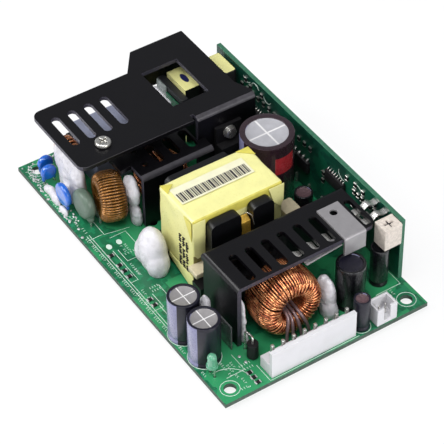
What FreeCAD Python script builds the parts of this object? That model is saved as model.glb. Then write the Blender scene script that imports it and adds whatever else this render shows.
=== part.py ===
import FreeCAD, Part
import math
import os

import Sketcher

# Open frame power supply on a 5 x 3 inch board.
# Frame: origin under the middle of the board at the tips of the cut leads, +X towards the output
# headers, +Y towards the control card, +Z up. All sizes are in millimetres.
# A height above the board is measured from its top face.

SIZES = {
    # main board and what passes through it
    "board_length": 127.0,
    "board_width": 76.2,
    "board_thickness": 1.6,
    "lead_reach": 2.0,
    "mount_hole_diameter": 4.0,
    "mount_hole_inset": 4.75,
    "lead_play": 0.15,
    "solder_height": 1.2,
    "solder_spread": 0.75,
    "solder_tip": 0.12,
    "foot_reach": 1.2,
    "foot_width": 2.6,
    # board headers of one series: eight ways at the output, five at the mains inlet
    "header_pitch": 3.96,
    "header_end": 1.9,
    "header_depth": 6.3,
    "header_base_height": 4.5,
    "header_wall_height": 10.4,
    "header_wall": 1.5,
    "header_edge_gap": 1.0,
    "header_pin_width": 1.1,
    "header_pin_rise": 11.3,
    "header_pin_gap": 0.65,
    "output_ways": 8,
    "output_header_y": -4.75,
    "inlet_ways": 5,
    "inlet_y": 8.6,
    # two way header at the output end
    "fan_header_depth": 5.75,
    "fan_header_width": 7.6,
    "fan_header_height": 7.0,
    "fan_header_wall": 0.8,
    "fan_header_floor": 1.6,
    "fan_header_slot": 2.4,
    "fan_header_y": 22.4,
    "fan_header_edge_gap": 0.2,
    "fan_pin_width": 0.64,
    "fan_pin_pitch": 2.5,
    "fan_pin_rise": 5.6,
    # round capacitors: where they stand, radius, height and lead pitch
    "bulk_x": -5.6,
    "bulk_y": 23.9,
    "bulk_radius": 9.0,
    "bulk_height": 28.0,
    "bulk_pitch": 7.5,
    "output_cap_x": 32.0,
    "output_cap_y": -32.6,
    "output_cap_step": 11.5,
    "output_cap_radius": 5.2,
    "output_cap_height": 17.2,
    "output_cap_pitch": 5.0,
    "filter_cap_x": 49.6,
    "filter_cap_y": 17.8,
    "filter_cap_radius": 4.8,
    "filter_cap_height": 17.6,
    "fan_cap_x": 60.0,
    "fan_cap_y": 14.75,
    "fan_cap_radius": 2.7,
    "fan_cap_height": 12.6,
    "fan_cap_pitch": 2.5,
    "control_cap_x": 47.2,
    "control_cap_y": 30.8,
    "control_cap_radius": 3.0,
    "control_cap_height": 15.4,
    "card_cap_x": 10.4,
    "card_cap_y": 27.4,
    "card_cap_radius": 3.1,
    "card_cap_height": 12.0,
    "can_rim": 0.75,
    "can_rim_drop": 0.3,
    "can_round": 0.4,
    "can_groove": 0.35,
    "can_groove_height": 2.0,
    "can_groove_reach": 0.6,
    "thick_lead": 0.8,
    "thin_lead": 0.6,
    "lead_bite": 0.5,
    # input heatsink, the wide plate
    "sheet": 1.5,
    "input_sink_height": 30.0,
    "input_sink_left": -53.8,
    "input_sink_near": -36.2,
    "input_sink_fold": -21.5,
    "input_sink_side": 27.6,
    "input_sink_ear": 30.2,
    "input_sink_far": -63.4,
    "input_sink_step_low": 0.6,
    "input_sink_step_high": 7.6,
    "input_wall_start": 7.6,
    "input_slot_length": 15.4,
    "input_slot_width": 3.0,
    "input_slot_x": -40.4,
    "input_slot_y": -31.0,
    "input_slot_pitch": 6.1,
    "input_slots": 4,
    "input_lip_drop": 18.0,
    "window_x": -41.1,
    "window_y": 11.2,
    "window_length": 19.8,
    "window_width": 13.8,
    "plate_screw_x": -28.1,
    "plate_screw_y": -24.2,
    "corner_round": 3.0,
    "bend_round": 1.9,
    "relief": 1.2,
    "input_foot_inset": 4.0,
    # screws and nuts, metric three
    "screw_diameter": 3.0,
    "screw_head_diameter": 5.4,
    "screw_head_height": 1.7,
    "screw_play": 0.25,
    "nut_width": 5.5,
    "nut_height": 2.4,
    "screw_spare": 0.8,
    "cross_slot": 0.7,
    "cross_slot_depth": 0.9,
    # power packages with three leads
    "package_width": 10.0,
    "package_depth": 4.5,
    "package_body": 9.0,
    "package_height": 15.4,
    "package_tab": 1.3,
    "package_hole_height": 12.6,
    "package_hole": 3.6,
    "package_lead_pitch": 2.54,
    "package_lead_back": 2.4,
    "transistor_y": 18.8,
    "transistor_lift": 7.6,
    "rectifier_lift": 3.0,
    "rectifier_y": -11.0,
    "rectifier_step": 14.0,
    # bracket heatsink
    "bracket_height": 21.5,
    "bracket_left": -31.0,
    "bracket_front": -15.0,
    "bracket_near": -17.5,
    "bracket_side": 9.6,
    "bracket_gap": 0.6,
    "bracket_wall": 15.0,
    "bracket_slot_length": 9.0,
    "bracket_slot_width": 3.2,
    "bracket_slot_x": -23.6,
    "bracket_slot_y": -8.0,
    "bracket_slot_pitch": 6.3,
    "bracket_slots": 3,
    "bracket_hole": 2.2,
    "bracket_hole_inset": 4.0,
    "bracket_hole_x": -27.9,
    "bracket_hole_step": 7.1,
    "tab_start": -30.3,
    "tab_length": 7.7,
    "tab_reach": 4.0,
    "tab_drop": 0.5,
    "bracket_foot_inset": 3.0,
    # output heatsink, clip plate and straps
    "output_sink_height": 25.0,
    "output_sink_back": 25.8,
    "output_sink_front": 45.9,
    "output_sink_near": -22.0,
    "output_sink_side": 30.3,
    "output_slot_length": 12.6,
    "output_slot_width": 3.0,
    "output_slot_x": 38.5,
    "output_slot_y": -15.3,
    "output_slot_pitch": 5.94,
    "output_slots": 6,
    "side_slot_y": 27.8,
    "side_slot_width": 2.4,
    "output_foot_inset": 4.0,
    "clip_start": 31.6,
    "clip_near": 17.2,
    "clip_width": 8.1,
    "clip_sheet": 0.8,
    "clip_lip": 6.4,
    "clip_gap": 0.3,
    "clip_hole": 2.6,
    "clip_hole_inset": 3.5,
    "strap_width": 2.4,
    "strap_sheet": 0.6,
    "strap_x": 36.6,
    "strap_step": 5.2,
    "strap_overlap": 2.6,
    "strap_rise": 0.9,
    "strap_flat": 3.0,
    # insulation sheet beside the output heatsink
    "insulation_length": 8.8,
    "insulation_height": 10.0,
    "insulation_sheet": 0.4,
    "insulation_gap": 2.0,
    # transformer
    "tape_back": -3.0,
    "tape_depth": 20.2,
    "tape_clearance": 0.3,
    "tape_width": 34.0,
    "tape_floor": 3.0,
    "tape_height": 29.0,
    "tape_round": 1.2,
    "yoke_thickness": 3.6,
    "yoke_shift": 0.6,
    "yoke_width": 23.6,
    "yoke_block": 11.3,
    "yoke_gap": 4.3,
    "yoke_floor": 4.2,
    "yoke_height": 27.0,
    "yoke_round": 2.0,
    "outer_leg": 3.5,
    "centre_leg": 8.6,
    "leg_floor": 9.0,
    "leg_height": 13.0,
    "leg_play": 0.2,
    "rail_depth": 5.0,
    "rail_height": 3.8,
    "rail_overhang": 0.7,
    "bobbin_floor": 1.4,
    "bobbin_sheet": 1.3,
    "rail_pins": 6,
    "rail_pin_pitch": 5.5,
    "label_length": 27.0,
    "label_width": 7.8,
    "label_sheet": 0.15,
    "label_x": 4.9,
    "label_shift": 1.7,
    # ring inductors
    "coil_play": 0.1,
    "output_ring_x": 45.0,
    "output_ring_y": -4.6,
    "output_ring_radius": 9.8,
    "output_ring_bore": 5.6,
    "output_ring_width": 11.6,
    "output_wire": 1.6,
    "output_turns": 22,
    "output_ring_lift": 0.1,
    "choke_x": -25.7,
    "choke_y": -24.4,
    "choke_turn": -15.0,
    "choke_radius": 7.6,
    "choke_bore": 3.9,
    "choke_width": 6.8,
    "choke_wire": 1.0,
    "choke_turns": 14,
    "choke_start": 14.0,
    "choke_lift": 0.6,
    "boost_x": -23.8,
    "boost_y": -5.6,
    "boost_radius": 7.9,
    "boost_bore": 4.2,
    "boost_width": 8.0,
    "boost_wire": 1.1,
    "boost_turns": 22,
    "input_ring_x": -51.9,
    "input_ring_y": -24.4,
    "input_ring_radius": 5.9,
    "input_ring_bore": 3.1,
    "input_ring_width": 3.4,
    "input_wire": 0.9,
    "input_turns": 20,
    # discs on two leads
    "disc_lift": 1.6,
    "blue_radius": 2.9,
    "blue_thickness": 2.2,
    "blue_one_x": -56.2,
    "blue_one_y": -31.4,
    "blue_two_x": -51.6,
    "blue_two_y": -32.8,
    "blue_pitch": 5.0,
    "blue_three_radius": 4.3,
    "blue_three_x": -37.9,
    "blue_three_y": -34.9,
    "varistor_x": -29.3,
    "varistor_y": -32.0,
    "varistor_radius": 5.4,
    "varistor_thickness": 4.0,
    "varistor_pitch": 7.5,
    "thermistor_x": -47.0,
    "thermistor_y": -0.6,
    "thermistor_radius": 5.4,
    "thermistor_thickness": 4.0,
    # boxed parts
    "film_x": -47.9,
    "film_y": -12.7,
    "film_length": 15.8,
    "film_width": 16.0,
    "film_height": 17.4,
    "film_pitch": 12.5,
    "box_round": 0.8,
    "cream_x": 13.6,
    "cream_gap": 2.2,
    "cream_length": 7.2,
    "cream_width": 5.6,
    "cream_height": 12.0,
    "cream_pitch": 5.0,
    "fuse_x": -59.4,
    "fuse_y": -16.5,
    "fuse_length": 4.0,
    "fuse_width": 8.2,
    "fuse_height": 8.0,
    "fuse_pitch": 5.08,
    "bridge_x": -36.2,
    "bridge_y": 1.0,
    "bridge_thickness": 3.6,
    "bridge_width": 20.0,
    "bridge_height": 15.0,
    "bridge_lift": 3.0,
    "bridge_pitch": 5.08,
    "coupler_x": 20.4,
    "coupler_gap": 1.69,
    "coupler_step": 8.4,
    "coupler_length": 4.6,
    "coupler_width": 6.4,
    "coupler_height": 3.6,
    "coupler_pitch": 7.62,
    "coupler_lead_pitch": 2.54,
    "card_coil_x": -46.6,
    "card_coil_length": 11.0,
    "card_coil_width": 4.4,
    "card_coil_height": 24.0,
    "card_coil_gap": 0.8,
    "card_coil_pitch": 7.5,
    # small transformer in the window
    "aux_x": -47.2,
    "aux_y": 18.7,
    "aux_tape_length": 11.6,
    "aux_tape_width": 6.6,
    "aux_tape_floor": 1.0,
    "aux_tape_height": 24.0,
    "aux_core_length": 15.4,
    "aux_core_floor": 6.0,
    "aux_core_height": 16.0,
    "aux_yoke": 2.6,
    "aux_leg": 4.6,
    "aux_leg_floor": 11.0,
    "aux_leg_height": 5.0,
    "aux_pitch": 8.0,
    "aux_lead_back": 2.2,
    # status light
    "light_x": 50.9,
    "light_y": -34.6,
    "light_radius": 1.5,
    "light_flange": 1.9,
    "light_flange_height": 1.0,
    "light_lift": 3.4,
    "light_body": 3.0,
    "light_pitch": 2.54,
    # upright diode
    "diode_x": 51.8,
    "diode_y": -20.4,
    "diode_radius": 1.85,
    "diode_height": 5.6,
    "diode_lift": 0.5,
    "diode_loop": 2.0,
    "diode_reach": 4.2,
    # control card and what it holds
    "card_left": -54.6,
    "card_right": 50.0,
    "card_height": 25.4,
    "card_thickness": 1.6,
    "card_pins": 14,
    "card_pin_width": 0.64,
    "card_pin_rise": 3.6,
    "card_pin_inset": 6.0,
    "chip_thickness": 1.5,
    "chip_length": 9.6,
    "chip_width": 6.4,
    "chip_one_x": -3.4,
    "chip_one_height": 11.0,
    "chip_two_x": 16.0,
    "chip_two_height": 16.4,
    "chip_three_x": -29.0,
    "chip_three_height": 12.0,
    "small_part_length": 2.0,
    "small_part_width": 1.25,
    "small_part_thickness": 0.55,
    "card_row_x": -18.0,
    "card_row_pitch": 3.2,
    "card_row_height": 19.2,
    "card_row_count": 7,
    "trimmer_x": 47.8,
    "trimmer_length": 5.8,
    "trimmer_width": 6.6,
    "trimmer_floor": 16.4,
    "trimmer_height": 25.0,
    "trimmer_slot": 0.8,
    "trimmer_slot_length": 3.6,
    "trimmer_slot_depth": 0.7,
}

# Where the small surface parts lie on the board, one name for each place.
SIZES.update({
    "chip_row_y": -33.9,
    "chip_a_x": -9.8,
    "chip_b_x": -4.6,
    "chip_c_x": -1.6,
    "chip_d_x": 1.4,
    "chip_e_x": 13.8,
    "chip_f_x": 16.6,
    "end_row_x": 59.2,
    "end_row_y": -25.0,
    "end_row_pitch": 2.3,
})

# Silicone beads: middle and half widths of each, in X, Y and height above the board.
BEADS = {
    "bead_bracket": (-19.6, -18.6, 10.4, 3.6, 1.6, 8.6),
    "bead_input": (-43.4, -29.6, 6.0, 6.6, 2.2, 12.0),
    "bead_input_foot": (-46.2, -35.5, 0.8, 2.8, 1.6, 2.6),
    "bead_output": (48.4, 10.05, 5.0, 3.6, 2.85, 8.2),
    "bead_output_wall": (42.4, -18.75, 8.0, 3.4, 1.35, 9.6),
    "bead_capacitor": (31.6, -24.7, 9.6, 2.6, 2.3, 10.4),
}
for bead, numbers in BEADS.items():
    for word, number in zip(("x", "y", "middle", "half_x", "half_y", "half_height"), numbers):
        SIZES[f"{bead}_{word}"] = number

# The bead between the transformer and the near edge reaches from its own near side to the tape.
SIZES.update({
    "bead_tape_x": 1.0,
    "bead_tape_near": -29.6,
    "bead_tape_gap": 0.4,
    "bead_tape_middle": 6.6,
    "bead_tape_half_x": 6.4,
    "bead_tape_half_height": 9.6,
})

doc = FreeCAD.newDocument("open_frame_power_supply")
sheet = doc.addObject("Spreadsheet::Sheet", "Sizes")
for row, (alias, number) in enumerate(SIZES.items(), start=1):
    sheet.set(f"A{row}", alias)
    sheet.set(f"B{row}", str(number))
    sheet.setAlias(f"B{row}", alias)
doc.recompute()


class Measure:
    """A size that carries its number and its formula in the sheet."""

    def __init__(self, text, number):
        self.text = text
        self.number = number

    def __add__(self, other):
        other = measure(other)
        return Measure(f"({self.text} + {other.text})", self.number + other.number)

    def __sub__(self, other):
        other = measure(other)
        return Measure(f"({self.text} - {other.text})", self.number - other.number)

    def __mul__(self, other):
        other = measure(other)
        return Measure(f"({self.text} * {other.text})", self.number * other.number)

    def __truediv__(self, other):
        other = measure(other)
        return Measure(f"({self.text} / {other.text})", self.number / other.number)

    def __neg__(self):
        return Measure(f"(0 - {self.text})", -self.number)

    def __radd__(self, other):
        return measure(other) + self

    def __rsub__(self, other):
        return measure(other) - self

    def __rmul__(self, other):
        return measure(other) * self


def measure(value):
    """A plain number as a measure, or the measure itself."""
    if isinstance(value, Measure):
        return value
    return Measure(f"({float(value)})", float(value))


def sine(angle):
    return Measure(f"sin({angle.text})", math.sin(math.radians(angle.number)))


def cosine(angle):
    return Measure(f"cos({angle.text})", math.cos(math.radians(angle.number)))


class Names:
    """Gives each size of the sheet by its name."""

    def __getattr__(self, alias):
        return Measure(f"Sizes.{alias}", float(SIZES[alias]))


s = Names()
V = FreeCAD.Vector
UPRIGHT = FreeCAD.Rotation()
DECK = s.lead_reach + s.board_thickness
HALF_LENGTH = s.board_length / 2
HALF_WIDTH = s.board_width / 2
CARD_FACE = HALF_WIDTH - s.card_thickness
ROOT_TWO = math.sqrt(2)

# The transformer stands against the bulk capacitor; its core, label and neighbours follow its tape.
TAPE_FAR = s.bulk_y - s.bulk_radius - s.tape_clearance
TAPE_NEAR = TAPE_FAR - s.tape_width
TAPE_MIDDLE = TAPE_FAR - s.tape_width / 2
YOKE_NEAR = TAPE_MIDDLE - s.yoke_shift - s.yoke_width / 2
CREAM_Y = TAPE_FAR + s.cream_gap + s.cream_width / 2
COUPLER_Y = TAPE_FAR + s.rail_overhang + s.coupler_gap + s.coupler_pitch / 2

# Every lead, pin or foot that passes the board: its place and its width across.
PASSES = []
NODES = []


def bind(thing, prop, value):
    """Ties one property to a size or a formula of sizes."""
    thing.setExpression(prop, measure(value).text)


def place(thing, x, y, z, turn=UPRIGHT):
    """Sets a thing's place and ties each coordinate to its sizes."""
    corner = [measure(value) for value in (x, y, z)]
    thing.Placement = FreeCAD.Placement(V(*[value.number for value in corner]), turn)
    for axis, value in zip("xyz", corner):
        bind(thing, f"Placement.Base.{axis}", value)


def node(thing, label):
    """Keeps a finished piece under the name of its file."""
    thing.Label = label
    NODES.append(thing)
    return thing


def fill(thing, sizes):
    for prop, value in sizes.items():
        bind(thing, prop, value)
    return thing


def new_body(name):
    return doc.addObject("PartDesign::Body", name)


def origin(body, role):
    """One of the body's own origin planes or axes."""
    return next(item for item in body.Origin.OriginFeatures if item.Role == role)


def add_box(body, name, size, corner, cut=False):
    """A box in a body, from its lowest corner."""
    kind = "PartDesign::SubtractiveBox" if cut else "PartDesign::AdditiveBox"
    item = fill(body.newObject(kind, name), dict(zip(("Length", "Width", "Height"), size)))
    place(item, *corner)
    return item


def add_block(body, name, size, middle, floor, cut=False):
    """A box in a body, from the middle of its floor."""
    corner = (middle[0] - size[0] / 2, middle[1] - size[1] / 2, floor)
    return add_box(body, name, size, corner, cut)


def add_rod(body, name, radius, length, foot, turn=UPRIGHT, cut=False):
    """A cylinder in a body, from the middle of its end."""
    kind = "PartDesign::SubtractiveCylinder" if cut else "PartDesign::AdditiveCylinder"
    item = fill(body.newObject(kind, name), {"Radius": radius, "Height": length})
    place(item, *foot, turn)
    return item


def draw(body, name, role, outlines=(), circles=(), offset=0.0):
    """A sketch on an origin plane, with each corner and circle tied to its sizes."""
    sketch = body.newObject("Sketcher::SketchObject", name)
    sketch.AttachmentSupport = [(origin(body, role), "")]
    sketch.MapMode = "FlatFace"
    bind(sketch, "AttachmentOffset.Base.z", offset)
    for points in outlines:
        draw_outline(sketch, points)
    for centre_x, centre_y, radius in circles:
        first = sketch.GeometryCount
        middle = V(measure(centre_x).number, measure(centre_y).number, 0)
        sketch.addGeometry(Part.Circle(middle, V(0, 0, 1), radius.number), False)
        tie(sketch, "DistanceX", first, 3, centre_x)
        tie(sketch, "DistanceY", first, 3, centre_y)
        rule = sketch.addConstraint(Sketcher.Constraint("Radius", first, radius.number))
        sketch.setExpression(f"Constraints[{rule}]", radius.text)
    return sketch


def draw_outline(sketch, points):
    """A closed outline of straight edges."""
    first = sketch.GeometryCount
    count = len(points)
    spots = [V(measure(x).number, measure(y).number, 0) for x, y in points]
    edges = [Part.LineSegment(spots[i], spots[(i + 1) % count]) for i in range(count)]
    sketch.addGeometry(edges, False)
    for i in range(count):
        sketch.addConstraint(Sketcher.Constraint("Coincident", first + i, 2, first + (i + 1) % count, 1))
    for i, (x, y) in enumerate(points):
        tie(sketch, "DistanceX", first + i, 1, x)
        tie(sketch, "DistanceY", first + i, 1, y)


def tie(sketch, kind, geometry, point, value):
    """Holds one coordinate of a sketch point at a size."""
    value = measure(value)
    rule = sketch.addConstraint(Sketcher.Constraint(kind, -1, 1, geometry, point, value.number))
    sketch.setExpression(f"Constraints[{rule}]", value.text)


def pad(body, name, sketch, length, middle=False):
    item = body.newObject("PartDesign::Pad", name)
    item.Profile = sketch
    item.Midplane = middle
    bind(item, "Length", length)
    return item


def revolve(body, name, sketch):
    item = body.newObject("PartDesign::Revolution", name)
    item.Profile = sketch
    item.ReferenceAxis = (sketch, ["V_Axis"])
    item.Angle = 360
    return item


def round_edges(body, name, radius, chosen):
    """Fillets the edges of the body's last feature that pass a test."""
    doc.recompute()
    last = body.Tip
    names = [f"Edge{i}" for i, edge in enumerate(last.Shape.Edges, start=1) if chosen(edge.BoundBox)]
    item = body.newObject("PartDesign::Fillet", name)
    item.Base = (last, names)
    bind(item, "Radius", radius)
    return item


def near(one, other):
    return abs(one - measure(other).number) < 1e-4


def is_upright(box):
    return box.XLength < 1e-4 and box.YLength < 1e-4


def slot_row(body, name, middle, length, width, floor, depth, pitch, count):
    """A row of slots with round ends along X, spaced along Y."""
    x, y = middle
    straight = length - width
    parts = [add_block(body, f"{name}_middle", (straight, width, depth), (x, y), floor, cut=True)]
    for end, side in (("low", -1), ("high", 1)):
        foot = (x + side * straight / 2, y, floor)
        parts.append(add_rod(body, f"{name}_{end}", width / 2, depth, foot, cut=True))
    if count is None:
        return parts
    row = body.newObject("PartDesign::LinearPattern", f"{name}_row")
    row.Originals = parts
    row.Direction = (origin(body, "Y_Axis"), [""])
    bind(row, "Length", pitch * (count - 1))
    bind(row, "Occurrences", count)
    body.Tip = row
    return parts


def pass_board(x, y, across):
    PASSES.append((measure(x), measure(y), measure(across)))


def round_lead(body, name, x, y, diameter, rise):
    """A round lead from its cut tip up to a height above the board."""
    pass_board(x, y, diameter)
    return add_rod(body, name, diameter / 2, DECK + rise, (x, y, 0))


def square_pin(body, name, x, y, width, rise):
    """A square pin from its tip up to a height above the board."""
    pass_board(x, y, width * ROOT_TWO)
    return add_block(body, name, (width, width, DECK + rise), (x, y), 0)


def foot(body, name, size, middle):
    """A flat foot of a folded sheet, down through the board."""
    pass_board(*middle, s.foot_width + s.sheet / 3)
    reach = s.foot_reach + s.board_thickness
    return add_block(body, name, (*size, reach + s.sheet), middle, s.lead_reach - s.foot_reach)


# Round capacitors

def capacitor(label, x, y, radius, height, pitch, lead):
    """A sleeved can with a crimp groove, a curled rim and two leads."""
    body = new_body(label)
    rim = radius - s.can_rim
    profile = draw(body, f"{label}_profile", "XZ_Plane", [[
        (0, 0), (radius, 0), (radius, s.can_groove_height - s.can_groove_reach),
        (radius - s.can_groove, s.can_groove_height), (radius, s.can_groove_height + s.can_groove_reach),
        (radius, height - s.can_round), (radius - s.can_round, height), (rim, height),
        (rim, height - s.can_rim_drop), (0, height - s.can_rim_drop)]])
    revolve(body, f"{label}_can", profile)
    place(body, x, y, DECK)
    for side in (-1, 1):
        pass_board(x + side * pitch / 2, y, lead)
        add_rod(body, f"{label}_lead", lead / 2, DECK + s.lead_bite, (side * pitch / 2, 0, -DECK))
    return node(body, label)


def round_capacitors():
    capacitor("bulk_capacitor", s.bulk_x, s.bulk_y, s.bulk_radius, s.bulk_height, s.bulk_pitch, s.thick_lead)
    for number in (1, 2):
        x = s.output_cap_x + (number - 1) * s.output_cap_step
        capacitor(f"output_capacitor_{number}", x, s.output_cap_y, s.output_cap_radius,
                  s.output_cap_height, s.output_cap_pitch, s.thin_lead)
    capacitor("filter_capacitor", s.filter_cap_x, s.filter_cap_y, s.filter_cap_radius,
              s.filter_cap_height, s.output_cap_pitch, s.thin_lead)
    capacitor("fan_capacitor", s.fan_cap_x, s.fan_cap_y, s.fan_cap_radius, s.fan_cap_height,
              s.fan_cap_pitch, s.thin_lead)
    capacitor("control_capacitor", s.control_cap_x, s.control_cap_y, s.control_cap_radius,
              s.control_cap_height, s.fan_cap_pitch, s.thin_lead)
    capacitor("card_capacitor", s.card_cap_x, s.card_cap_y, s.card_cap_radius,
              s.card_cap_height, s.fan_cap_pitch, s.thin_lead)


# Board headers

def header(label, side, y, ways, every):
    """A header with one friction wall at the board's edge; side is +1 or -1 along X."""
    length = (ways - 1) * s.header_pitch + 2 * s.header_end
    front = side * (HALF_LENGTH - s.header_edge_gap)
    middle = front - side * s.header_depth / 2
    wall = front - side * s.header_wall / 2
    pin_x = front - side * (s.header_wall + s.header_pin_gap + s.header_pin_width / 2)
    housing = new_body(f"{label}_housing")
    add_block(housing, f"{label}_base", (s.header_depth, length, s.header_base_height), (middle, y), DECK)
    add_block(housing, f"{label}_wall", (s.header_wall, length, s.header_wall_height), (wall, y), DECK)
    pins = new_body(f"{label}_pins")
    pins.AllowCompound = True
    for i in range(0, int(ways.number), every):
        pin_y = y + (i - (ways - 1) / 2) * s.header_pitch
        square_pin(pins, f"{label}_pin", pin_x, pin_y, s.header_pin_width, s.header_pin_rise)
        add_block(housing, f"{label}_hole", (s.header_pin_width, s.header_pin_width, s.header_base_height),
                  (pin_x, pin_y), DECK, cut=True)
    node(housing, f"{label}_housing")
    node(pins, f"{label}_pins")


def fan_header():
    """An open box with a slot in its front wall and two pins."""
    front = HALF_LENGTH - s.fan_header_edge_gap
    middle = front - s.fan_header_depth / 2
    wall = s.fan_header_wall
    housing = new_body("fan_header_housing")
    add_block(housing, "fan_box", (s.fan_header_depth, s.fan_header_width, s.fan_header_height),
              (middle, s.fan_header_y), DECK)
    room = s.fan_header_height - s.fan_header_floor
    add_block(housing, "fan_room", (s.fan_header_depth - 2 * wall, s.fan_header_width - 2 * wall, room),
              (middle, s.fan_header_y), DECK + s.fan_header_floor, cut=True)
    add_block(housing, "fan_slot", (2 * wall, s.fan_header_slot, room), (front - wall, s.fan_header_y),
              DECK + s.fan_header_floor, cut=True)
    pins = new_body("fan_header_pins")
    pins.AllowCompound = True
    for side in (-1, 1):
        y = s.fan_header_y + side * s.fan_pin_pitch / 2
        square_pin(pins, "fan_pin", middle, y, s.fan_pin_width, s.fan_pin_rise)
        add_block(housing, "fan_hole", (s.fan_pin_width, s.fan_pin_width, s.fan_header_floor),
                  (middle, y), DECK, cut=True)
    node(housing, "fan_header_housing")
    node(pins, "fan_header_pins")


# Folded heatsinks

def input_heatsink():
    """The wide plate, with its slots, window and notch, folded down along one edge."""
    body = new_body("input_heatsink")
    fold = s.input_sink_fold
    under = DECK + s.input_sink_height - s.sheet
    outline = [
        (s.input_sink_left, s.input_sink_near), (fold, s.input_sink_near), (fold, s.input_sink_ear),
        (fold - s.corner_round, s.input_sink_ear), (fold - 3 * s.corner_round, s.input_sink_side),
        (s.input_sink_far, s.input_sink_side), (s.input_sink_far, s.input_sink_step_high),
        (s.input_sink_left, s.input_sink_step_low)]
    pad(body, "plate", draw(body, "plate_outline", "XY_Plane", [outline], offset=under), s.sheet)
    wall_width = s.input_sink_ear - s.input_wall_start
    add_box(body, "wall", (s.sheet, wall_width, s.input_sink_height),
            (fold - s.sheet, s.input_wall_start, DECK))
    add_box(body, "relief", (s.sheet + s.relief, s.relief, 2 * s.sheet),
            (fold - s.sheet - s.relief, s.input_wall_start - s.relief, under - s.sheet / 2), cut=True)
    top = under + s.sheet
    far = s.input_sink_far
    add_box(body, "far_lip", (s.sheet, s.input_sink_side - s.input_sink_step_high, s.input_lip_drop),
            (far, s.input_sink_step_high, top - s.input_lip_drop))
    round_edges(body, "bend", s.bend_round, lambda box: near(box.XMin, fold) and near(box.XMax, fold)
                and near(box.ZMin, top) and near(box.YMin, s.input_wall_start))
    round_edges(body, "lip_bend", s.sheet * 0.8, lambda box: near(box.XMin, far) and near(box.XMax, far)
                and near(box.ZMin, top))
    round_edges(body, "corners", s.corner_round, lambda box: is_upright(box) and near(box.YMin, s.input_sink_near))
    through = 2 * s.sheet
    slot_row(body, "slot", (s.input_slot_x, s.input_slot_y), s.input_slot_length, s.input_slot_width,
             under - s.sheet / 2, through, s.input_slot_pitch, s.input_slots)
    add_block(body, "window", (s.window_length, s.window_width, through), (s.window_x, s.window_y),
              under - s.sheet / 2, cut=True)
    hole = s.screw_diameter / 2 + s.screw_play
    add_rod(body, "plate_hole", hole, through, (s.plate_screw_x, s.plate_screw_y, under - s.sheet / 2), cut=True)
    add_rod(body, "wall_hole", hole, through,
            (fold - 1.5 * s.sheet, s.transistor_y, DECK + s.transistor_lift + s.package_hole_height),
            FreeCAD.Rotation(V(0, 1, 0), 90), cut=True)
    for y in (s.input_wall_start + s.input_foot_inset, s.input_sink_ear - s.input_foot_inset):
        foot(body, "foot", (s.sheet, s.foot_width), (fold - s.sheet / 2, y))
    node(body, "input_heatsink")


def bracket_heatsink():
    """The lower plate, folded down at its front edge, with a sloping side tab."""
    body = new_body("bracket_heatsink")
    under = DECK + s.bracket_height - s.sheet
    notch_x = s.input_sink_fold + s.bracket_gap
    notch_y = s.input_wall_start - s.bracket_gap
    outline = [
        (s.bracket_left, s.bracket_near), (s.bracket_front, s.bracket_near),
        (s.bracket_front, s.bracket_side), (notch_x, s.bracket_side),
        (notch_x, notch_y), (s.bracket_left, notch_y)]
    pad(body, "top", draw(body, "top_outline", "XY_Plane", [outline], offset=under), s.sheet)
    add_box(body, "wall", (s.sheet, s.bracket_wall, s.bracket_height),
            (s.bracket_front - s.sheet, s.bracket_near, DECK))
    top = under + s.sheet
    round_edges(body, "bend", s.bend_round, lambda box: near(box.XMin, s.bracket_front)
                and near(box.XMax, s.bracket_front) and near(box.ZMin, top) and near(box.ZMax, top))
    near_y = s.bracket_near
    tab = [(near_y + s.sheet / 3, top), (near_y + s.sheet / 3, under), (near_y, under),
           (near_y - s.tab_reach, under - s.tab_drop), (near_y - s.tab_reach, top - s.tab_drop), (near_y, top)]
    pad(body, "tab", draw(body, "tab_outline", "YZ_Plane", [tab], offset=s.tab_start), s.tab_length)
    through = 2 * s.sheet
    slot_row(body, "slot", (s.bracket_slot_x, s.bracket_slot_y), s.bracket_slot_length, s.bracket_slot_width,
             under - s.sheet / 2, through, s.bracket_slot_pitch, s.bracket_slots)
    for i in range(2):
        add_rod(body, "hole", s.bracket_hole / 2, through,
                (s.bracket_hole_x + i * s.bracket_hole_step, near_y + s.bracket_hole_inset, under - s.sheet / 2),
                cut=True)
    for y in (near_y + s.bracket_foot_inset, near_y + s.bracket_wall - s.bracket_foot_inset):
        foot(body, "foot", (s.sheet, s.foot_width), (s.bracket_front - s.sheet / 2, y))
    node(body, "bracket_heatsink")


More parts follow.
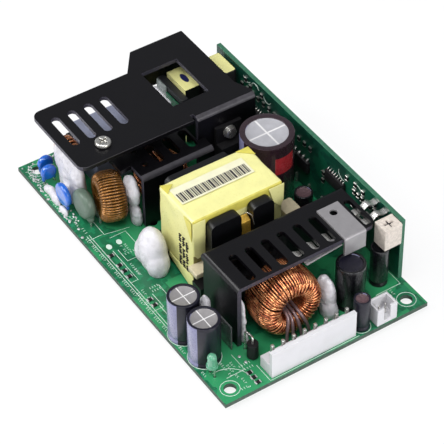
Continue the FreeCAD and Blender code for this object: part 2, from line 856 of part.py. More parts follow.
def output_heatsink():
    """A channel with a top, a side wall and a back wall, slotted over the inductor."""
    body = new_body("output_heatsink")
    under = DECK + s.output_sink_height - s.sheet
    depth = s.output_sink_front - s.output_sink_back
    width = s.output_sink_side - s.output_sink_near
    add_box(body, "top", (depth, width, s.sheet), (s.output_sink_back, s.output_sink_near, under))
    add_box(body, "side_wall", (depth, s.sheet, s.output_sink_height),
            (s.output_sink_back, s.output_sink_near, DECK))
    add_box(body, "back_wall", (s.sheet, width, s.output_sink_height),
            (s.output_sink_back, s.output_sink_near, DECK))
    add_box(body, "corner_relief", (s.relief, s.relief, s.output_sink_height - s.sheet - s.bend_round),
            (s.output_sink_back, s.output_sink_near, DECK), cut=True)
    top = under + s.sheet
    round_edges(body, "bends", s.bend_round, lambda box: near(box.ZMin, top) and near(box.ZMax, top)
                and (near(box.YMax, s.output_sink_near) or near(box.XMax, s.output_sink_back)))
    round_edges(body, "corners", s.corner_round, lambda box: is_upright(box)
                and near(box.YMin, s.output_sink_side) and near(box.XMin, s.output_sink_front))
    through = 2 * s.sheet
    floor = under - s.sheet / 2
    slot_row(body, "slot", (s.output_slot_x, s.output_slot_y), s.output_slot_length, s.output_slot_width,
             floor, through, s.output_slot_pitch, s.output_slots)
    slot_row(body, "side_slot", (s.output_slot_x, s.side_slot_y), s.output_slot_length, s.side_slot_width,
             floor, through, None, None)
    clip_y = s.clip_near + s.clip_width / 2
    add_rod(body, "clip_hole", s.clip_hole / 2, through, (s.clip_start + s.clip_hole_inset, clip_y, floor), cut=True)
    for x in (s.output_sink_back + 2 * s.output_foot_inset, s.output_sink_front - s.output_foot_inset):
        foot(body, "side_foot", (s.foot_width, s.sheet), (x, s.output_sink_near + s.sheet / 2))
    for y in (s.output_sink_near + 2 * s.output_foot_inset, s.output_sink_side - s.output_foot_inset):
        foot(body, "back_foot", (s.sheet, s.foot_width), (s.output_sink_back + s.sheet / 2, y))
    node(body, "output_heatsink")


def clip_plate():
    """A bright bent plate on the output heatsink, with its lip over the front edge."""
    body = new_body("clip_plate")
    floor = DECK + s.output_sink_height
    lip = s.output_sink_front + s.clip_gap
    reach = lip + s.clip_sheet
    profile = [(s.clip_start, floor), (lip, floor), (lip, floor - s.clip_lip), (reach, floor - s.clip_lip),
               (reach, floor + s.clip_sheet), (s.clip_start, floor + s.clip_sheet)]
    side = s.clip_near + s.clip_width
    pad(body, "plate", draw(body, "profile", "XZ_Plane", [profile], offset=-side), s.clip_width)
    round_edges(body, "bend", s.clip_sheet, lambda box: near(box.XMin, reach) and near(box.ZMin, floor + s.clip_sheet))
    add_rod(body, "hole", s.clip_hole / 2, 3 * s.clip_sheet,
            (s.clip_start + s.clip_hole_inset, s.clip_near + s.clip_width / 2, floor - s.clip_sheet), cut=True)
    node(body, "clip_plate")


def heatsink_straps():
    """Two bright strips from under the output heatsink's edge to the control card."""
    body = new_body("heatsink_straps")
    body.AllowCompound = True
    under = DECK + s.output_sink_height - s.sheet
    start = s.output_sink_side - s.strap_overlap
    flat = CARD_FACE - s.strap_flat
    rise = under + s.strap_rise
    thick = s.strap_sheet
    profile = [(start, under - thick), (s.output_sink_side, under - thick), (flat, rise - thick),
               (CARD_FACE, rise - thick), (CARD_FACE, rise), (flat, rise), (s.output_sink_side, under),
               (start, under)]
    for i in range(2):
        x = s.strap_x + i * s.strap_step - s.strap_width / 2
        pad(body, "strap", draw(body, "strap_profile", "YZ_Plane", [profile], offset=x), s.strap_width)
    node(body, "heatsink_straps")


def insulation_sheet():
    body = new_body("insulation_sheet")
    y = s.output_sink_near - s.insulation_gap - s.insulation_sheet
    add_box(body, "film", (s.insulation_length, s.insulation_sheet, s.insulation_height),
            (s.output_sink_front - s.insulation_length, y, DECK))
    node(body, "insulation_sheet")


# Screws, nuts and power packages

def pan_screw(body, name, foot_point, turn, length):
    """A pan head screw: its shaft, then its head with a cross, along its own axis."""
    x, y, z = foot_point
    add_rod(body, f"{name}_shaft", s.screw_diameter / 2, length + s.lead_bite, (x, y, z), turn)
    along = turn.multVec(V(0, 0, 1))

    def shift(distance):
        return tuple(value + step * distance for value, step in zip((x, y, z), along) )

    add_rod(body, f"{name}_head", s.screw_head_diameter / 2, s.screw_head_height, shift(length), turn)
    deep = length + s.screw_head_height - s.cross_slot_depth
    wide = s.screw_head_diameter * 0.62
    for i, size in enumerate(((wide, s.cross_slot), (s.cross_slot, wide))):
        item = fill(body.newObject("PartDesign::SubtractiveBox", f"{name}_cross"),
                    {"Length": size[0], "Width": size[1], "Height": 2 * s.cross_slot_depth})
        spot = shift(deep)
        if along.z > 0.5:
            place(item, spot[0] - size[0] / 2, spot[1] - size[1] / 2, spot[2], turn)
        else:
            place(item, spot[0], spot[1] - size[1] / 2, spot[2] + size[0] / 2, turn)


def screws_and_nuts():
    """The screw in the plate and the one that holds both transistors to the folded wall."""
    screws = new_body("heatsink_screws")
    screws.AllowCompound = True
    nuts = new_body("heatsink_nuts")
    nuts.AllowCompound = True
    sideways = FreeCAD.Rotation(V(0, 1, 0), 90)
    under = DECK + s.input_sink_height - s.sheet
    below = s.nut_height + s.screw_spare
    pan_screw(screws, "plate", (s.plate_screw_x, s.plate_screw_y, under - below), UPRIGHT, s.sheet + below)
    height = DECK + s.transistor_lift + s.package_hole_height
    inner = s.input_sink_fold - s.sheet - s.package_tab
    pan_screw(screws, "wall", (inner - below, s.transistor_y, height), sideways,
              below + s.sheet + 2 * s.package_tab)
    play = s.screw_play / 3
    hexagon_nut(nuts, "plate", (s.plate_screw_x, s.plate_screw_y), "XY_Plane", under - s.nut_height, play)
    hexagon_nut(nuts, "wall", (s.transistor_y, height), "YZ_Plane", inner - s.nut_height, play)
    node(screws, "heatsink_screws")
    node(nuts, "heatsink_nuts")


def hexagon_nut(body, name, middle, role, offset, play):
    corner = s.nut_width / math.sqrt(3)
    flat = s.nut_width / 2
    points = [(middle[0] + side * corner / 2 * step, middle[1] + rise * flat) for side, step, rise in
              ((-1, 1, -1), (1, 1, -1), (1, 2, 0), (1, 1, 1), (-1, 1, 1), (-1, 2, 0))]
    hole = (*middle, s.screw_diameter / 2 + play)
    sketch = draw(body, f"{name}_hexagon", role, [points], [hole], offset)
    pad(body, f"{name}_nut", sketch, s.nut_height)


def power_package(label, x, y, lift, facing):
    """A three lead package; its tab lies on the wall at x and its front looks along facing on X."""
    body = new_body(label)
    floor = DECK + lift
    depth = s.package_depth
    front = x if facing > 0 else x - depth
    tab = x if facing > 0 else x - s.package_tab
    low = y - s.package_width / 2
    add_box(body, "moulding", (depth, s.package_width, s.package_body), (front, low, floor))
    add_box(body, "tab", (s.package_tab, s.package_width, s.package_height), (tab, low, floor))
    add_rod(body, "tab_hole", s.package_hole / 2, 3 * s.package_tab,
            (tab - s.package_tab, y, floor + s.package_hole_height), FreeCAD.Rotation(V(0, 1, 0), 90), cut=True)
    for i in (-1, 0, 1):
        round_lead(body, "lead", x + facing * s.package_lead_back, y + i * s.package_lead_pitch,
                   s.thick_lead, lift + s.lead_bite)
    node(body, label)


def power_packages():
    outer = s.input_sink_fold
    power_package("pfc_transistor", outer, s.transistor_y, s.transistor_lift, 1)
    power_package("switch_transistor", outer - s.sheet, s.transistor_y, s.transistor_lift, -1)
    inner = s.output_sink_back + s.sheet
    for number in (1, 2):
        y = s.rectifier_y + (number - 1) * s.rectifier_step
        power_package(f"output_rectifier_{number}", inner, y, s.rectifier_lift, 1)


# Transformers

def transformer():
    """Taped winding on a bobbin, with two yokes joined by three legs through the winding."""
    front = s.tape_back + s.tape_depth
    yoke_side = YOKE_NEAR + s.yoke_width
    middle_y = YOKE_NEAR + s.yoke_width / 2
    legs = [("near", YOKE_NEAR, s.outer_leg), ("far", yoke_side - s.outer_leg, s.outer_leg),
            ("middle", middle_y - s.centre_leg / 2, s.centre_leg)]
    core = new_body("transformer_core")
    tall = s.yoke_height - s.yoke_floor
    floor = DECK + s.yoke_floor
    add_box(core, "back_yoke", (s.yoke_thickness, s.yoke_width, tall),
            (s.tape_back - s.yoke_thickness, YOKE_NEAR, floor))
    for leg, y, width in legs:
        add_box(core, f"{leg}_leg", (s.tape_depth, width, s.leg_height), (s.tape_back, y, DECK + s.leg_floor))
    add_box(core, "front_near_block", (s.yoke_thickness, s.yoke_block, tall), (front, YOKE_NEAR, floor))
    second = YOKE_NEAR + s.yoke_block + s.yoke_gap
    add_box(core, "front_far_block", (s.yoke_thickness, yoke_side - second, tall), (front, second, floor))
    outside = (s.tape_back - s.yoke_thickness, front + s.yoke_thickness)
    round_edges(core, "yoke_rounds", s.yoke_round, lambda box: box.YLength < 1e-4 and box.ZLength < 1e-4
                and (near(box.XMin, outside[0]) or near(box.XMax, outside[1])))
    tape = new_body("transformer_winding")
    add_box(tape, "taped_block", (s.tape_depth, s.tape_width, s.tape_height - s.tape_floor),
            (s.tape_back, TAPE_NEAR, DECK + s.tape_floor))
    round_edges(tape, "tape_rounds", s.tape_round, lambda box: box.YLength > s.tape_width.number - 1
                or (box.XLength > s.tape_depth.number - 1 and near(box.ZMin, DECK + s.tape_height)))
    play = s.leg_play
    for leg, y, width in legs:
        add_box(tape, f"{leg}_tunnel", (s.tape_depth, width + 2 * play, s.leg_height + 2 * play),
                (s.tape_back, y - play, DECK + s.leg_floor - play), cut=True)
    node(core, "transformer_core")
    node(tape, "transformer_winding")
    transformer_bobbin(front)
    label = new_body("transformer_label")
    add_block(label, "paper", (s.label_width, s.label_length, s.label_sheet), (s.label_x, TAPE_MIDDLE - s.label_shift),
              DECK + s.tape_height)
    node(label, "transformer_label")


def transformer_bobbin(front):
    """Floor plate and two pin rails under the yokes."""
    bobbin = new_body("transformer_bobbin")
    middle_y = TAPE_NEAR + s.tape_width / 2
    add_box(bobbin, "floor", (s.tape_depth, s.tape_width, s.bobbin_sheet),
            (s.tape_back, TAPE_NEAR, DECK + s.bobbin_floor))
    for name, x, over in (("back", s.tape_back - s.rail_depth, 0), ("front", front, s.rail_overhang)):
        add_box(bobbin, f"{name}_rail", (s.rail_depth, s.tape_width + 2 * over, s.rail_height),
                (x, TAPE_NEAR - over, DECK))
        count = int(s.rail_pins.number)
        for i in range(count):
            y = middle_y + (i - (s.rail_pins - 1) / 2) * s.rail_pin_pitch
            round_lead(bobbin, f"{name}_pin", x + s.rail_depth / 2, y, s.thin_lead, s.lead_bite)
    node(bobbin, "transformer_bobbin")


def auxiliary_transformer():
    """The small transformer that shows in the window."""
    core = new_body("auxiliary_transformer_core")
    length, width = s.aux_core_length, s.aux_tape_width
    for side in (-1, 1):
        add_block(core, "yoke", (length, s.aux_yoke, s.aux_core_height),
                  (s.aux_x, s.aux_y + side * (width + s.aux_yoke) / 2), DECK + s.aux_core_floor)
        if side < 0:
            add_block(core, "leg", (s.aux_leg, width + s.aux_yoke, s.aux_leg_height),
                      (s.aux_x, s.aux_y), DECK + s.aux_leg_floor)
    tape = new_body("auxiliary_transformer_winding")
    add_block(tape, "taped_block", (s.aux_tape_length, width, s.aux_tape_height - s.aux_tape_floor),
              (s.aux_x, s.aux_y), DECK + s.aux_tape_floor)
    play = s.leg_play
    add_block(tape, "tunnel", (s.aux_leg + 2 * play, width, s.aux_leg_height + 2 * play),
              (s.aux_x, s.aux_y), DECK + s.aux_leg_floor - play, cut=True)
    for side in (-1, 1):
        for back in (-1, 1):
            round_lead(tape, "pin", s.aux_x + side * s.aux_pitch / 2, s.aux_y + back * s.aux_lead_back,
                       s.thin_lead, s.aux_tape_floor + s.lead_bite)
    node(core, "auxiliary_transformer_core")
    node(tape, "auxiliary_transformer_winding")


# Ring inductors

ALONG_X = FreeCAD.Rotation(V(0, 0, -1), V(0, 1, 0), V(1, 0, 0), "ZXY")
ALONG_Y = FreeCAD.Rotation(V(0, 0, -1), V(-1, 0, 0), V(0, 1, 0), "ZXY")


def ring_core(label, x, y, z, turn, radius, bore, width):
    body = new_body(label)
    pad(body, "ring", draw(body, "ring_circles", "XY_Plane", circles=[(0, 0, radius), (0, 0, bore)]),
        width, middle=True)
    place(body, x, y, z, turn)
    node(body, label)


def wire_loops(label, radius, bore, width, wire, turns, sweep):
    """Loops of flat wire around a ring's section, set out around the ring's axis."""
    body = new_body(label)
    body.AllowCompound = True
    play = s.coil_play
    inner, outer, half = bore - play, radius + play, width / 2 + play
    cut = wire / 2
    low, high, deep = inner - wire, outer + wire, half + wire
    outside = [(low + cut, -deep), (high - cut, -deep), (high, cut - deep), (high, deep - cut),
               (high - cut, deep), (low + cut, deep), (low, deep - cut), (low, cut - deep)]
    inside = [(inner, -half), (outer, -half), (outer, half), (inner, half)]
    loop = pad(body, "loop", draw(body, "loop_section", "XZ_Plane", [outside, inside]), wire * 0.82, middle=True)
    turns_feature = body.newObject("PartDesign::PolarPattern", "turns")
    turns_feature.Originals = [loop]
    turns_feature.Axis = (origin(body, "Z_Axis"), [""])
    bind(turns_feature, "Angle", sweep)
    bind(turns_feature, "Occurrences", turns)
    body.Tip = turns_feature
    return body


def wound_ring(label, x, y, axis, radius, bore, width, wire, turns, lift):
    """A ring on edge, its full winding, and two leads at its lowest turn."""
    turn = ALONG_X if axis == "x" else ALONG_Y
    middle = lift + wire + s.coil_play + radius
    ring_core(f"{label}_core", x, y, DECK + middle, turn, radius, bore, width)
    body = wire_loops(f"{label}_winding", radius, bore, width, wire, turns, measure(360))
    side = width / 2 + s.coil_play + wire / 2
    for way in (-1, 1):
        add_rod(body, "lead", wire * 0.45, middle + DECK - radius + wire, (radius - wire, 0, way * side),
                FreeCAD.Rotation(V(0, 1, 0), 90))
        if axis == "x":
            pass_board(x + way * side, y, wire * 0.9)
        else:
            pass_board(x, y + way * side, wire * 0.9)
    place(body, x, y, DECK + middle, turn)
    node(body, f"{label}_winding")


def common_mode_choke():
    """One ring with two equal coils, one on each half."""
    wire, radius = s.choke_wire, s.choke_radius
    middle = s.choke_lift + wire + s.coil_play + radius
    lean = FreeCAD.Rotation(V(0, 0, 1), s.choke_turn.number)
    ring_core("common_mode_choke_core", s.choke_x, s.choke_y, DECK + middle, lean.multiply(ALONG_Y), radius,
              s.choke_bore, s.choke_width)
    coil = wire_loops("choke_coil", radius, s.choke_bore, s.choke_width, wire, s.choke_turns,
                      180 - 2 * s.choke_start)
    start = FreeCAD.Rotation(V(0, 0, 1), s.choke_start.number)
    place(coil, s.choke_x, s.choke_y, DECK + middle, ALONG_Y.multiply(start))
    side = s.choke_width / 2 + s.coil_play + wire / 2
    reach = (radius + s.choke_bore) / 2
    parts = [coil]
    for way in (-1, 1):
        lead = fill(doc.addObject("Part::Cylinder", "choke_lead"),
                    {"Radius": wire * 0.45, "Height": DECK + middle - reach * cosine(s.choke_start)})
        x = s.choke_x - reach * sine(s.choke_start)
        place(lead, x, s.choke_y + way * side, 0)
        parts.append(lead)
        for half in (-1, 1):
            across, along = half * reach * sine(s.choke_start), way * side
            pass_board(s.choke_x + across * cosine(s.choke_turn) - along * sine(s.choke_turn),
                       s.choke_y + across * sine(s.choke_turn) + along * cosine(s.choke_turn), wire * 0.9)
    first = doc.addObject("Part::MultiFuse", "choke_first_coil")
    first.Shapes = parts
    second = doc.addObject("Part::Mirroring", "choke_second_coil")
    second.Source = first
    second.Normal = V(1, 0, 0)
    second.Base = V(s.choke_x.number, 0, 0)
    bind(second, "Base.x", s.choke_x)
    both = doc.addObject("Part::Compound", "choke_coils")
    both.Links = [first, second]
    place(both, s.choke_x - s.choke_x * cosine(s.choke_turn) + s.choke_y * sine(s.choke_turn),
          s.choke_y - s.choke_x * sine(s.choke_turn) - s.choke_y * cosine(s.choke_turn), 0, lean)
    node(both, "common_mode_choke_winding")


def ring_inductors():
    wound_ring("output_inductor", s.output_ring_x, s.output_ring_y, "x", s.output_ring_radius,
               s.output_ring_bore, s.output_ring_width, s.output_wire, s.output_turns, s.output_ring_lift)
    wound_ring("boost_inductor", s.boost_x, s.boost_y, "x", s.boost_radius, s.boost_bore, s.boost_width,
               s.boost_wire, s.boost_turns, s.choke_lift)
    wound_ring("input_choke", s.input_ring_x, s.input_ring_y, "y", s.input_ring_radius, s.input_ring_bore,
               s.input_ring_width, s.input_wire, s.input_turns, s.choke_lift)
    common_mode_choke()


# Discs and boxes on leads

def disc(label, x, y, axis, radius, thickness, pitch):
    """A dipped disc on two leads, its face along X or Y."""
    body = new_body(label)
    lean = FreeCAD.Rotation(V(0, 1, 0), 90) if axis == "x" else FreeCAD.Rotation(V(1, 0, 0), -90)
    middle = DECK + s.disc_lift + radius
    centre = (x - thickness / 2, y, middle) if axis == "x" else (x, y - thickness / 2, middle)
    add_rod(body, "disc", radius, thickness, centre, lean)
    round_edges(body, "dip", thickness * 0.4, lambda box: max(box.XLength, box.YLength) > radius.number
                and min(box.XLength, box.YLength) < 1e-4)
    for side in (-1, 1):
        away = side * pitch / 2
        spot = (x, y + away) if axis == "x" else (x + away, y)
        round_lead(body, "lead", *spot, s.thin_lead, s.disc_lift + radius)
    node(body, label)


def discs():
    pitch = s.blue_pitch
    disc("line_capacitor_1", s.blue_one_x, s.blue_one_y, "x", s.blue_radius, s.blue_thickness, pitch * 0.8)
    disc("line_capacitor_2", s.blue_two_x, s.blue_two_y, "x", s.blue_radius, s.blue_thickness, pitch * 0.8)
    disc("line_capacitor_3", s.blue_three_x, s.blue_three_y, "y", s.blue_three_radius, s.blue_thickness, pitch)
    disc("varistor", s.varistor_x, s.varistor_y, "y", s.varistor_radius, s.varistor_thickness, s.varistor_pitch)
    disc("inrush_thermistor", s.thermistor_x, s.thermistor_y, "y", s.thermistor_radius,
         s.thermistor_thickness, s.varistor_pitch)


def boxed(label, size, middle, lift, leads, lead):
    """A box with rounded upright edges, and a lead at each offset from its middle."""
    body = new_body(label)
    floor = DECK + lift
    add_block(body, "case", size, middle, floor)
    round_edges(body, "edges", s.box_round, is_upright)
    for away_x, away_y in leads:
        round_lead(body, "lead", middle[0] + away_x, middle[1] + away_y, lead, lift + s.lead_bite)
    node(body, label)


def boxes():
    half = s.film_pitch / 2
    boxed("film_capacitor", (s.film_length, s.film_width, s.film_height), (s.film_x, s.film_y), 0.0,
          [(0, -half), (0, half)], s.thick_lead)
    half = s.cream_pitch / 2
    boxed("cream_capacitor", (s.cream_length, s.cream_width, s.cream_height), (s.cream_x, CREAM_Y), 0.0,
          [(-half, 0), (half, 0)], s.thin_lead)
    half = s.fuse_pitch / 2
    boxed("line_fuse", (s.fuse_length, s.fuse_width, s.fuse_height), (s.fuse_x, s.fuse_y), 0.0,
          [(0, -half), (0, half)], s.thin_lead)
    leads = [(0, (i - 1.5) * s.bridge_pitch) for i in range(4)]
    boxed("bridge_rectifier", (s.bridge_thickness, s.bridge_width, s.bridge_height),
          (s.bridge_x, s.bridge_y), s.bridge_lift, leads, s.thick_lead)
    y = CARD_FACE - s.card_coil_gap - s.card_coil_width / 2
    half = s.card_coil_pitch / 2
    boxed("card_inductor", (s.card_coil_length, s.card_coil_width, s.card_coil_height),
          (s.card_coil_x, y), 0.0, [(-half, 0), (half, 0)], s.thin_lead)


def optocouplers():
    """Two four lead couplers, side by side."""
    parts = []
    for i in range(2):
        body = new_body("coupler")
        y = COUPLER_Y + i * s.coupler_step
        add_block(body, "case", (s.coupler_length, s.coupler_width, s.coupler_height), (s.coupler_x, y),
                  DECK + s.thin_lead)
        for side in (-1, 1):
            lead_y = y + side * s.coupler_pitch / 2
            for way in (-1, 1):
                x = s.coupler_x + way * s.coupler_lead_pitch / 2
                round_lead(body, "lead", x, lead_y, s.thin_lead, s.coupler_height / 2)
            add_block(body, "shoulder", (s.coupler_lead_pitch + s.thin_lead, s.coupler_pitch - s.coupler_width,
                                         s.thin_lead / 2), (s.coupler_x, lead_y - side * s.thin_lead / 4),
                      DECK + s.coupler_height / 2)
        parts.append(body)
    pair = doc.addObject("Part::Compound", "coupler_pair")
    pair.Links = parts
    node(pair, "optocouplers")


def status_light():
    """A green light on two long leads, with a flange and a domed lens."""
    body = new_body("status_light")
    x, y = s.light_x, s.light_y
    floor = DECK + s.light_lift
    add_rod(body, "flange", s.light_flange, s.light_flange_height, (x, y, floor))
    tall = s.light_flange_height + s.light_body
    add_rod(body, "lens", s.light_radius, tall, (x, y, floor))
    dome = body.newObject("PartDesign::AdditiveSphere", "dome")
    bind(dome, "Radius", s.light_radius)
    place(dome, x, y, floor + tall)
    for side in (-1, 1):
        round_lead(body, "lead", x + side * s.light_pitch / 2, y, s.thin_lead, s.light_lift + s.lead_bite)
    node(body, "status_light")


def output_diode():
    """An upright diode whose top lead loops over and down to the board."""
    body = new_body("output_diode")
    x, y = s.diode_x, s.diode_y
    wire = s.thick_lead
    top = s.diode_lift + s.diode_height
    add_rod(body, "moulding", s.diode_radius, s.diode_height, (x, y, DECK + s.diode_lift))
    round_lead(body, "lower_lead", x, y, wire, s.diode_lift + s.lead_bite)
    add_rod(body, "upper_lead", wire / 2, s.diode_loop + s.lead_bite, (x, y, DECK + top - s.lead_bite))
    over = (x - s.diode_reach - wire / 2, y, DECK + top + s.diode_loop - wire / 2)
    add_rod(body, "bridge", wire / 2, s.diode_reach + wire, over, FreeCAD.Rotation(V(0, 1, 0), 90))
    round_lead(body, "return_lead", x - s.diode_reach, y, wire, top + s.diode_loop - wire / 2)
    node(body, "output_diode")


# Control card and surface parts

def control_card():
    length = s.card_right - s.card_left
    card = new_body("control_card")
    add_box(card, "card", (length, s.card_thickness, s.card_height), (s.card_left, CARD_FACE, DECK))
    node(card, "control_card")
    pins = new_body("control_card_pins")
    pins.AllowCompound = True
    width = s.card_pin_width
    step = (length - 2 * s.card_pin_inset) / (s.card_pins - 1)
    for i in range(int(s.card_pins.number)):
        x = s.card_left + s.card_pin_inset + i * step
        square_pin(pins, "card_pin", x, CARD_FACE - width / 2, width, s.card_pin_rise)
    node(pins, "control_card_pins")
    node(control_card_parts(), "control_card_parts")


def face_block(name, x, height, length, width, thickness):
    """A flat part on the card's inner face, at a height above the board."""
    item = fill(doc.addObject("Part::Box", name), {"Length": length, "Width": thickness, "Height": width})
    place(item, x - length / 2, CARD_FACE - thickness, DECK + height - width / 2)
    return item


def control_card_parts():
    """Chips and rows of small parts on the card's inner face."""
    chip = (s.chip_length, s.chip_width, s.chip_thickness)
    parts = [face_block("chip_one", s.chip_one_x, s.chip_one_height, *chip),
             face_block("chip_two", s.chip_two_x, s.chip_two_height, *chip),
             face_block("chip_three", s.chip_three_x, s.chip_three_height, *chip)]
    small = (s.small_part_width, s.small_part_length, s.small_part_thickness)
    for i in range(int(s.card_row_count.number)):
        parts.append(face_block("row_part", s.card_row_x + i * s.card_row_pitch, s.card_row_height, *small))
        parts.append(face_block("low_part", s.chip_three_x + (i - 3) * s.card_row_pitch,
                                s.card_row_height, *small))
        parts.append(face_block("side_part", s.chip_two_x + s.chip_length + i * s.card_row_pitch / 1.5,
                                s.card_row_height, *small))
    group = doc.addObject("Part::Compound", "card_parts")
    group.Links = parts
    return group


def voltage_trimmer():
    """A square trimmer on the card, with a cross slot in its top."""
    body = new_body("voltage_trimmer")
    middle = (s.trimmer_x, CARD_FACE - s.trimmer_width / 2)
    add_block(body, "case", (s.trimmer_length, s.trimmer_width, s.trimmer_height - s.trimmer_floor),
              middle, DECK + s.trimmer_floor)
    for size in ((s.trimmer_slot_length, s.trimmer_slot), (s.trimmer_slot, s.trimmer_slot_length)):
        add_block(body, "cross", (*size, s.trimmer_slot_depth), middle,
                  DECK + s.trimmer_height - s.trimmer_slot_depth, cut=True)
    node(body, "voltage_trimmer")


def board_chips():
    """Small surface parts on the board."""
    parts = []
    spots = [(x, s.chip_row_y) for x in (s.chip_a_x, s.chip_b_x, s.chip_c_x, s.chip_d_x, s.chip_e_x, s.chip_f_x)]
    spots += [(s.end_row_x + (i - 1) * s.end_row_pitch, s.end_row_y) for i in range(3)]
    for x, y in spots:
        item = fill(doc.addObject("Part::Box", "board_part"),
                    {"Length": s.small_part_width, "Width": s.small_part_length,
                     "Height": s.small_part_thickness})
        place(item, x - s.small_part_width / 2, y - s.small_part_length / 2, DECK)
        parts.append(item)
    group = doc.addObject("Part::Compound", "board_parts")
    group.Links = parts
    node(group, "board_surface_parts")


def silicone_beads():
    """Rounded beads of silicone, flat where they meet the board."""
    tape_side = TAPE_NEAR - s.bead_tape_gap
    shapes = {"bead_transformer": (s.bead_tape_x, (s.bead_tape_near + tape_side) / 2, s.bead_tape_middle,
                                   s.bead_tape_half_x, (tape_side - s.bead_tape_near) / 2,
                                   s.bead_tape_half_height)}
    for bead in BEADS:
        shapes[bead] = [getattr(s, f"{bead}_{word}") for word in
                        ("x", "y", "middle", "half_x", "half_y", "half_height")]
    beads = []
    for bead, (x, y, middle, half_x, half_y, half_height) in shapes.items():
        blob = fill(doc.addObject("Part::Ellipsoid", f"{bead}_blob"),
                    {"Radius1": half_height, "Radius2": half_x, "Radius3": half_y})
        place(blob, x, y, DECK + middle)
        room = fill(doc.addObject("Part::Box", f"{bead}_room"),
                    {"Length": 4 * half_x, "Width": 4 * half_y, "Height": middle + 2 * half_height})
        place(room, x - 2 * half_x, y - 2 * half_y, DECK)
        kept = doc.addObject("Part::Common", bead)
        kept.Base = blob
        kept.Tool = room
        beads.append(kept)
    group = doc.addObject("Part::Compound", "beads")
    group.Links = beads
    node(group, "silicone_beads")


# The board and its solder, made last because every lead needs its hole

def upright_rods(name, floor, height, extra):
    """One rod for each thing that passes the board."""
    rods = []
    for x, y, across in PASSES:
        rod = fill(doc.addObject("Part::Cylinder", name), {"Radius": across / 2 + extra, "Height": height})
        place(rod, x, y, floor)
        rods.append(rod)
    group = doc.addObject("Part::Compound", f"{name}s")
    group.Links = rods
    return group


def main_board():
    slab = fill(doc.addObject("Part::Box", "slab"),
                {"Length": s.board_length, "Width": s.board_width, "Height": s.board_thickness})
    place(slab, -HALF_LENGTH, -HALF_WIDTH, s.lead_reach)
    holes = upright_rods("lead_hole", s.lead_reach / 2, s.lead_reach + s.board_thickness, s.lead_play)
    mounts = []
    for side_x in (-1, 1):
        for side_y in (-1, 1):
            hole = fill(doc.addObject("Part::Cylinder", "mount_hole"),
                        {"Radius": s.mount_hole_diameter / 2, "Height": s.lead_reach + s.board_thickness})
            place(hole, side_x * (HALF_LENGTH - s.mount_hole_inset),
                  side_y * (HALF_WIDTH - s.mount_hole_inset), s.lead_reach / 2)
            mounts.append(hole)
    tools = doc.addObject("Part::Compound", "board_holes")
    tools.Links = [holes] + mounts
    board = doc.addObject("Part::Cut", "drilled_board")
    board.Base = slab
    board.Tool = tools
    node(board, "main_board")


def solder_joints():
    """A cone of solder round each lead, under the board."""
    cones = []
    for x, y, across in PASSES:
        cone = fill(doc.addObject("Part::Cone", "cone"),
                    {"Radius1": across / 2 + s.solder_tip, "Radius2": across / 2 + s.solder_spread,
                     "Height": s.solder_height})
        place(cone, x, y, s.lead_reach - s.solder_height)
        cones.append(cone)
    group = doc.addObject("Part::Compound", "cones")
    group.Links = cones
    joints = doc.addObject("Part::Cut", "joints")
    joints.Base = group
    joints.Tool = upright_rods("joint_bore", 0, s.lead_reach + s.board_thickness, 0.0)
    node(joints, "solder_joints")


def build():
    round_capacitors()
    header("output_header", 1, s.output_header_y, s.output_ways, 1)
    header("ac_inlet", -1, s.inlet_y, s.inlet_ways, 2)
    fan_header()
    input_heatsink()
    bracket_heatsink()
    output_heatsink()
    clip_plate()
    heatsink_straps()
    insulation_sheet()
    screws_and_nuts()
    power_packages()
    transformer()
    auxiliary_transformer()
    ring_inductors()
    discs()
    boxes()
    optocouplers()
    status_light()
    output_diode()
    control_card()
    voltage_trimmer()
    board_chips()
    silicone_beads()
    main_board()
    solder_joints()
    doc.recompute()


def check():
    """Stops if any object failed or any piece isn't a sound solid."""
    for thing in doc.Objects:
        if "Invalid" in thing.State or "Error" in thing.State:
            raise RuntimeError(f"{thing.Name} failed: {thing.State}")
    for piece in NODES:
        if piece.Shape.isNull() or not piece.Shape.isValid() or not piece.Shape.Solids:
            raise RuntimeError(f"{piece.Label} is not a sound solid")


build()
check()
os.makedirs("parts", exist_ok=True)
for piece in NODES:
    piece.Shape.exportStep(os.path.join("parts", f"{piece.Label}.step"))
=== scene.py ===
import math

import bmesh
import bpy
from mathutils import Matrix, Vector


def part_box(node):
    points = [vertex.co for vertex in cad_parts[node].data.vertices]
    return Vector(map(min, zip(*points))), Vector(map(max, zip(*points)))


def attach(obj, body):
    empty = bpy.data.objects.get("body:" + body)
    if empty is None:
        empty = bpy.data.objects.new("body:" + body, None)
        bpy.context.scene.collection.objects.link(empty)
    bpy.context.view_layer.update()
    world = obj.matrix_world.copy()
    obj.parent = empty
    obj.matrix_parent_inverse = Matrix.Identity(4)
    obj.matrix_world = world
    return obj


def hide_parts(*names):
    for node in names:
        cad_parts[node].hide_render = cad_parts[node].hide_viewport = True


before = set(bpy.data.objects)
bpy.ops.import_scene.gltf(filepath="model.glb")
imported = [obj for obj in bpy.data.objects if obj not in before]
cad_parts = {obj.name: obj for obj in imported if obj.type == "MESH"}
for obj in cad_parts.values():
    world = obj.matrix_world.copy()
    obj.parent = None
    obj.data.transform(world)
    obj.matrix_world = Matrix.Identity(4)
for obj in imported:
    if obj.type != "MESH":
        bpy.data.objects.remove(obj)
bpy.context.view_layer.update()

# All places below are in millimetres in the frame of the part: +X to the output headers,
# +Y to the control card, +Z up from the lead tips.
MM = 0.001
DECK = 3.6                      # top face of the board
CARD_FACE = 36.5                # inner face of the control card
HOLE_X, HOLE_Y = 58.75, 33.35   # holes of the board, from its middle
SHEET_TOP = 33.6                # top face of the input heatsink's plate
PACKAGE_BODY = 15.4             # height of a power package's moulding
CRIMP = (0.9, 1.5, 2.1)         # foot, middle and top of a can's crimp groove, above the board
DISH = 0.35                     # depth of a can's top inside its rim

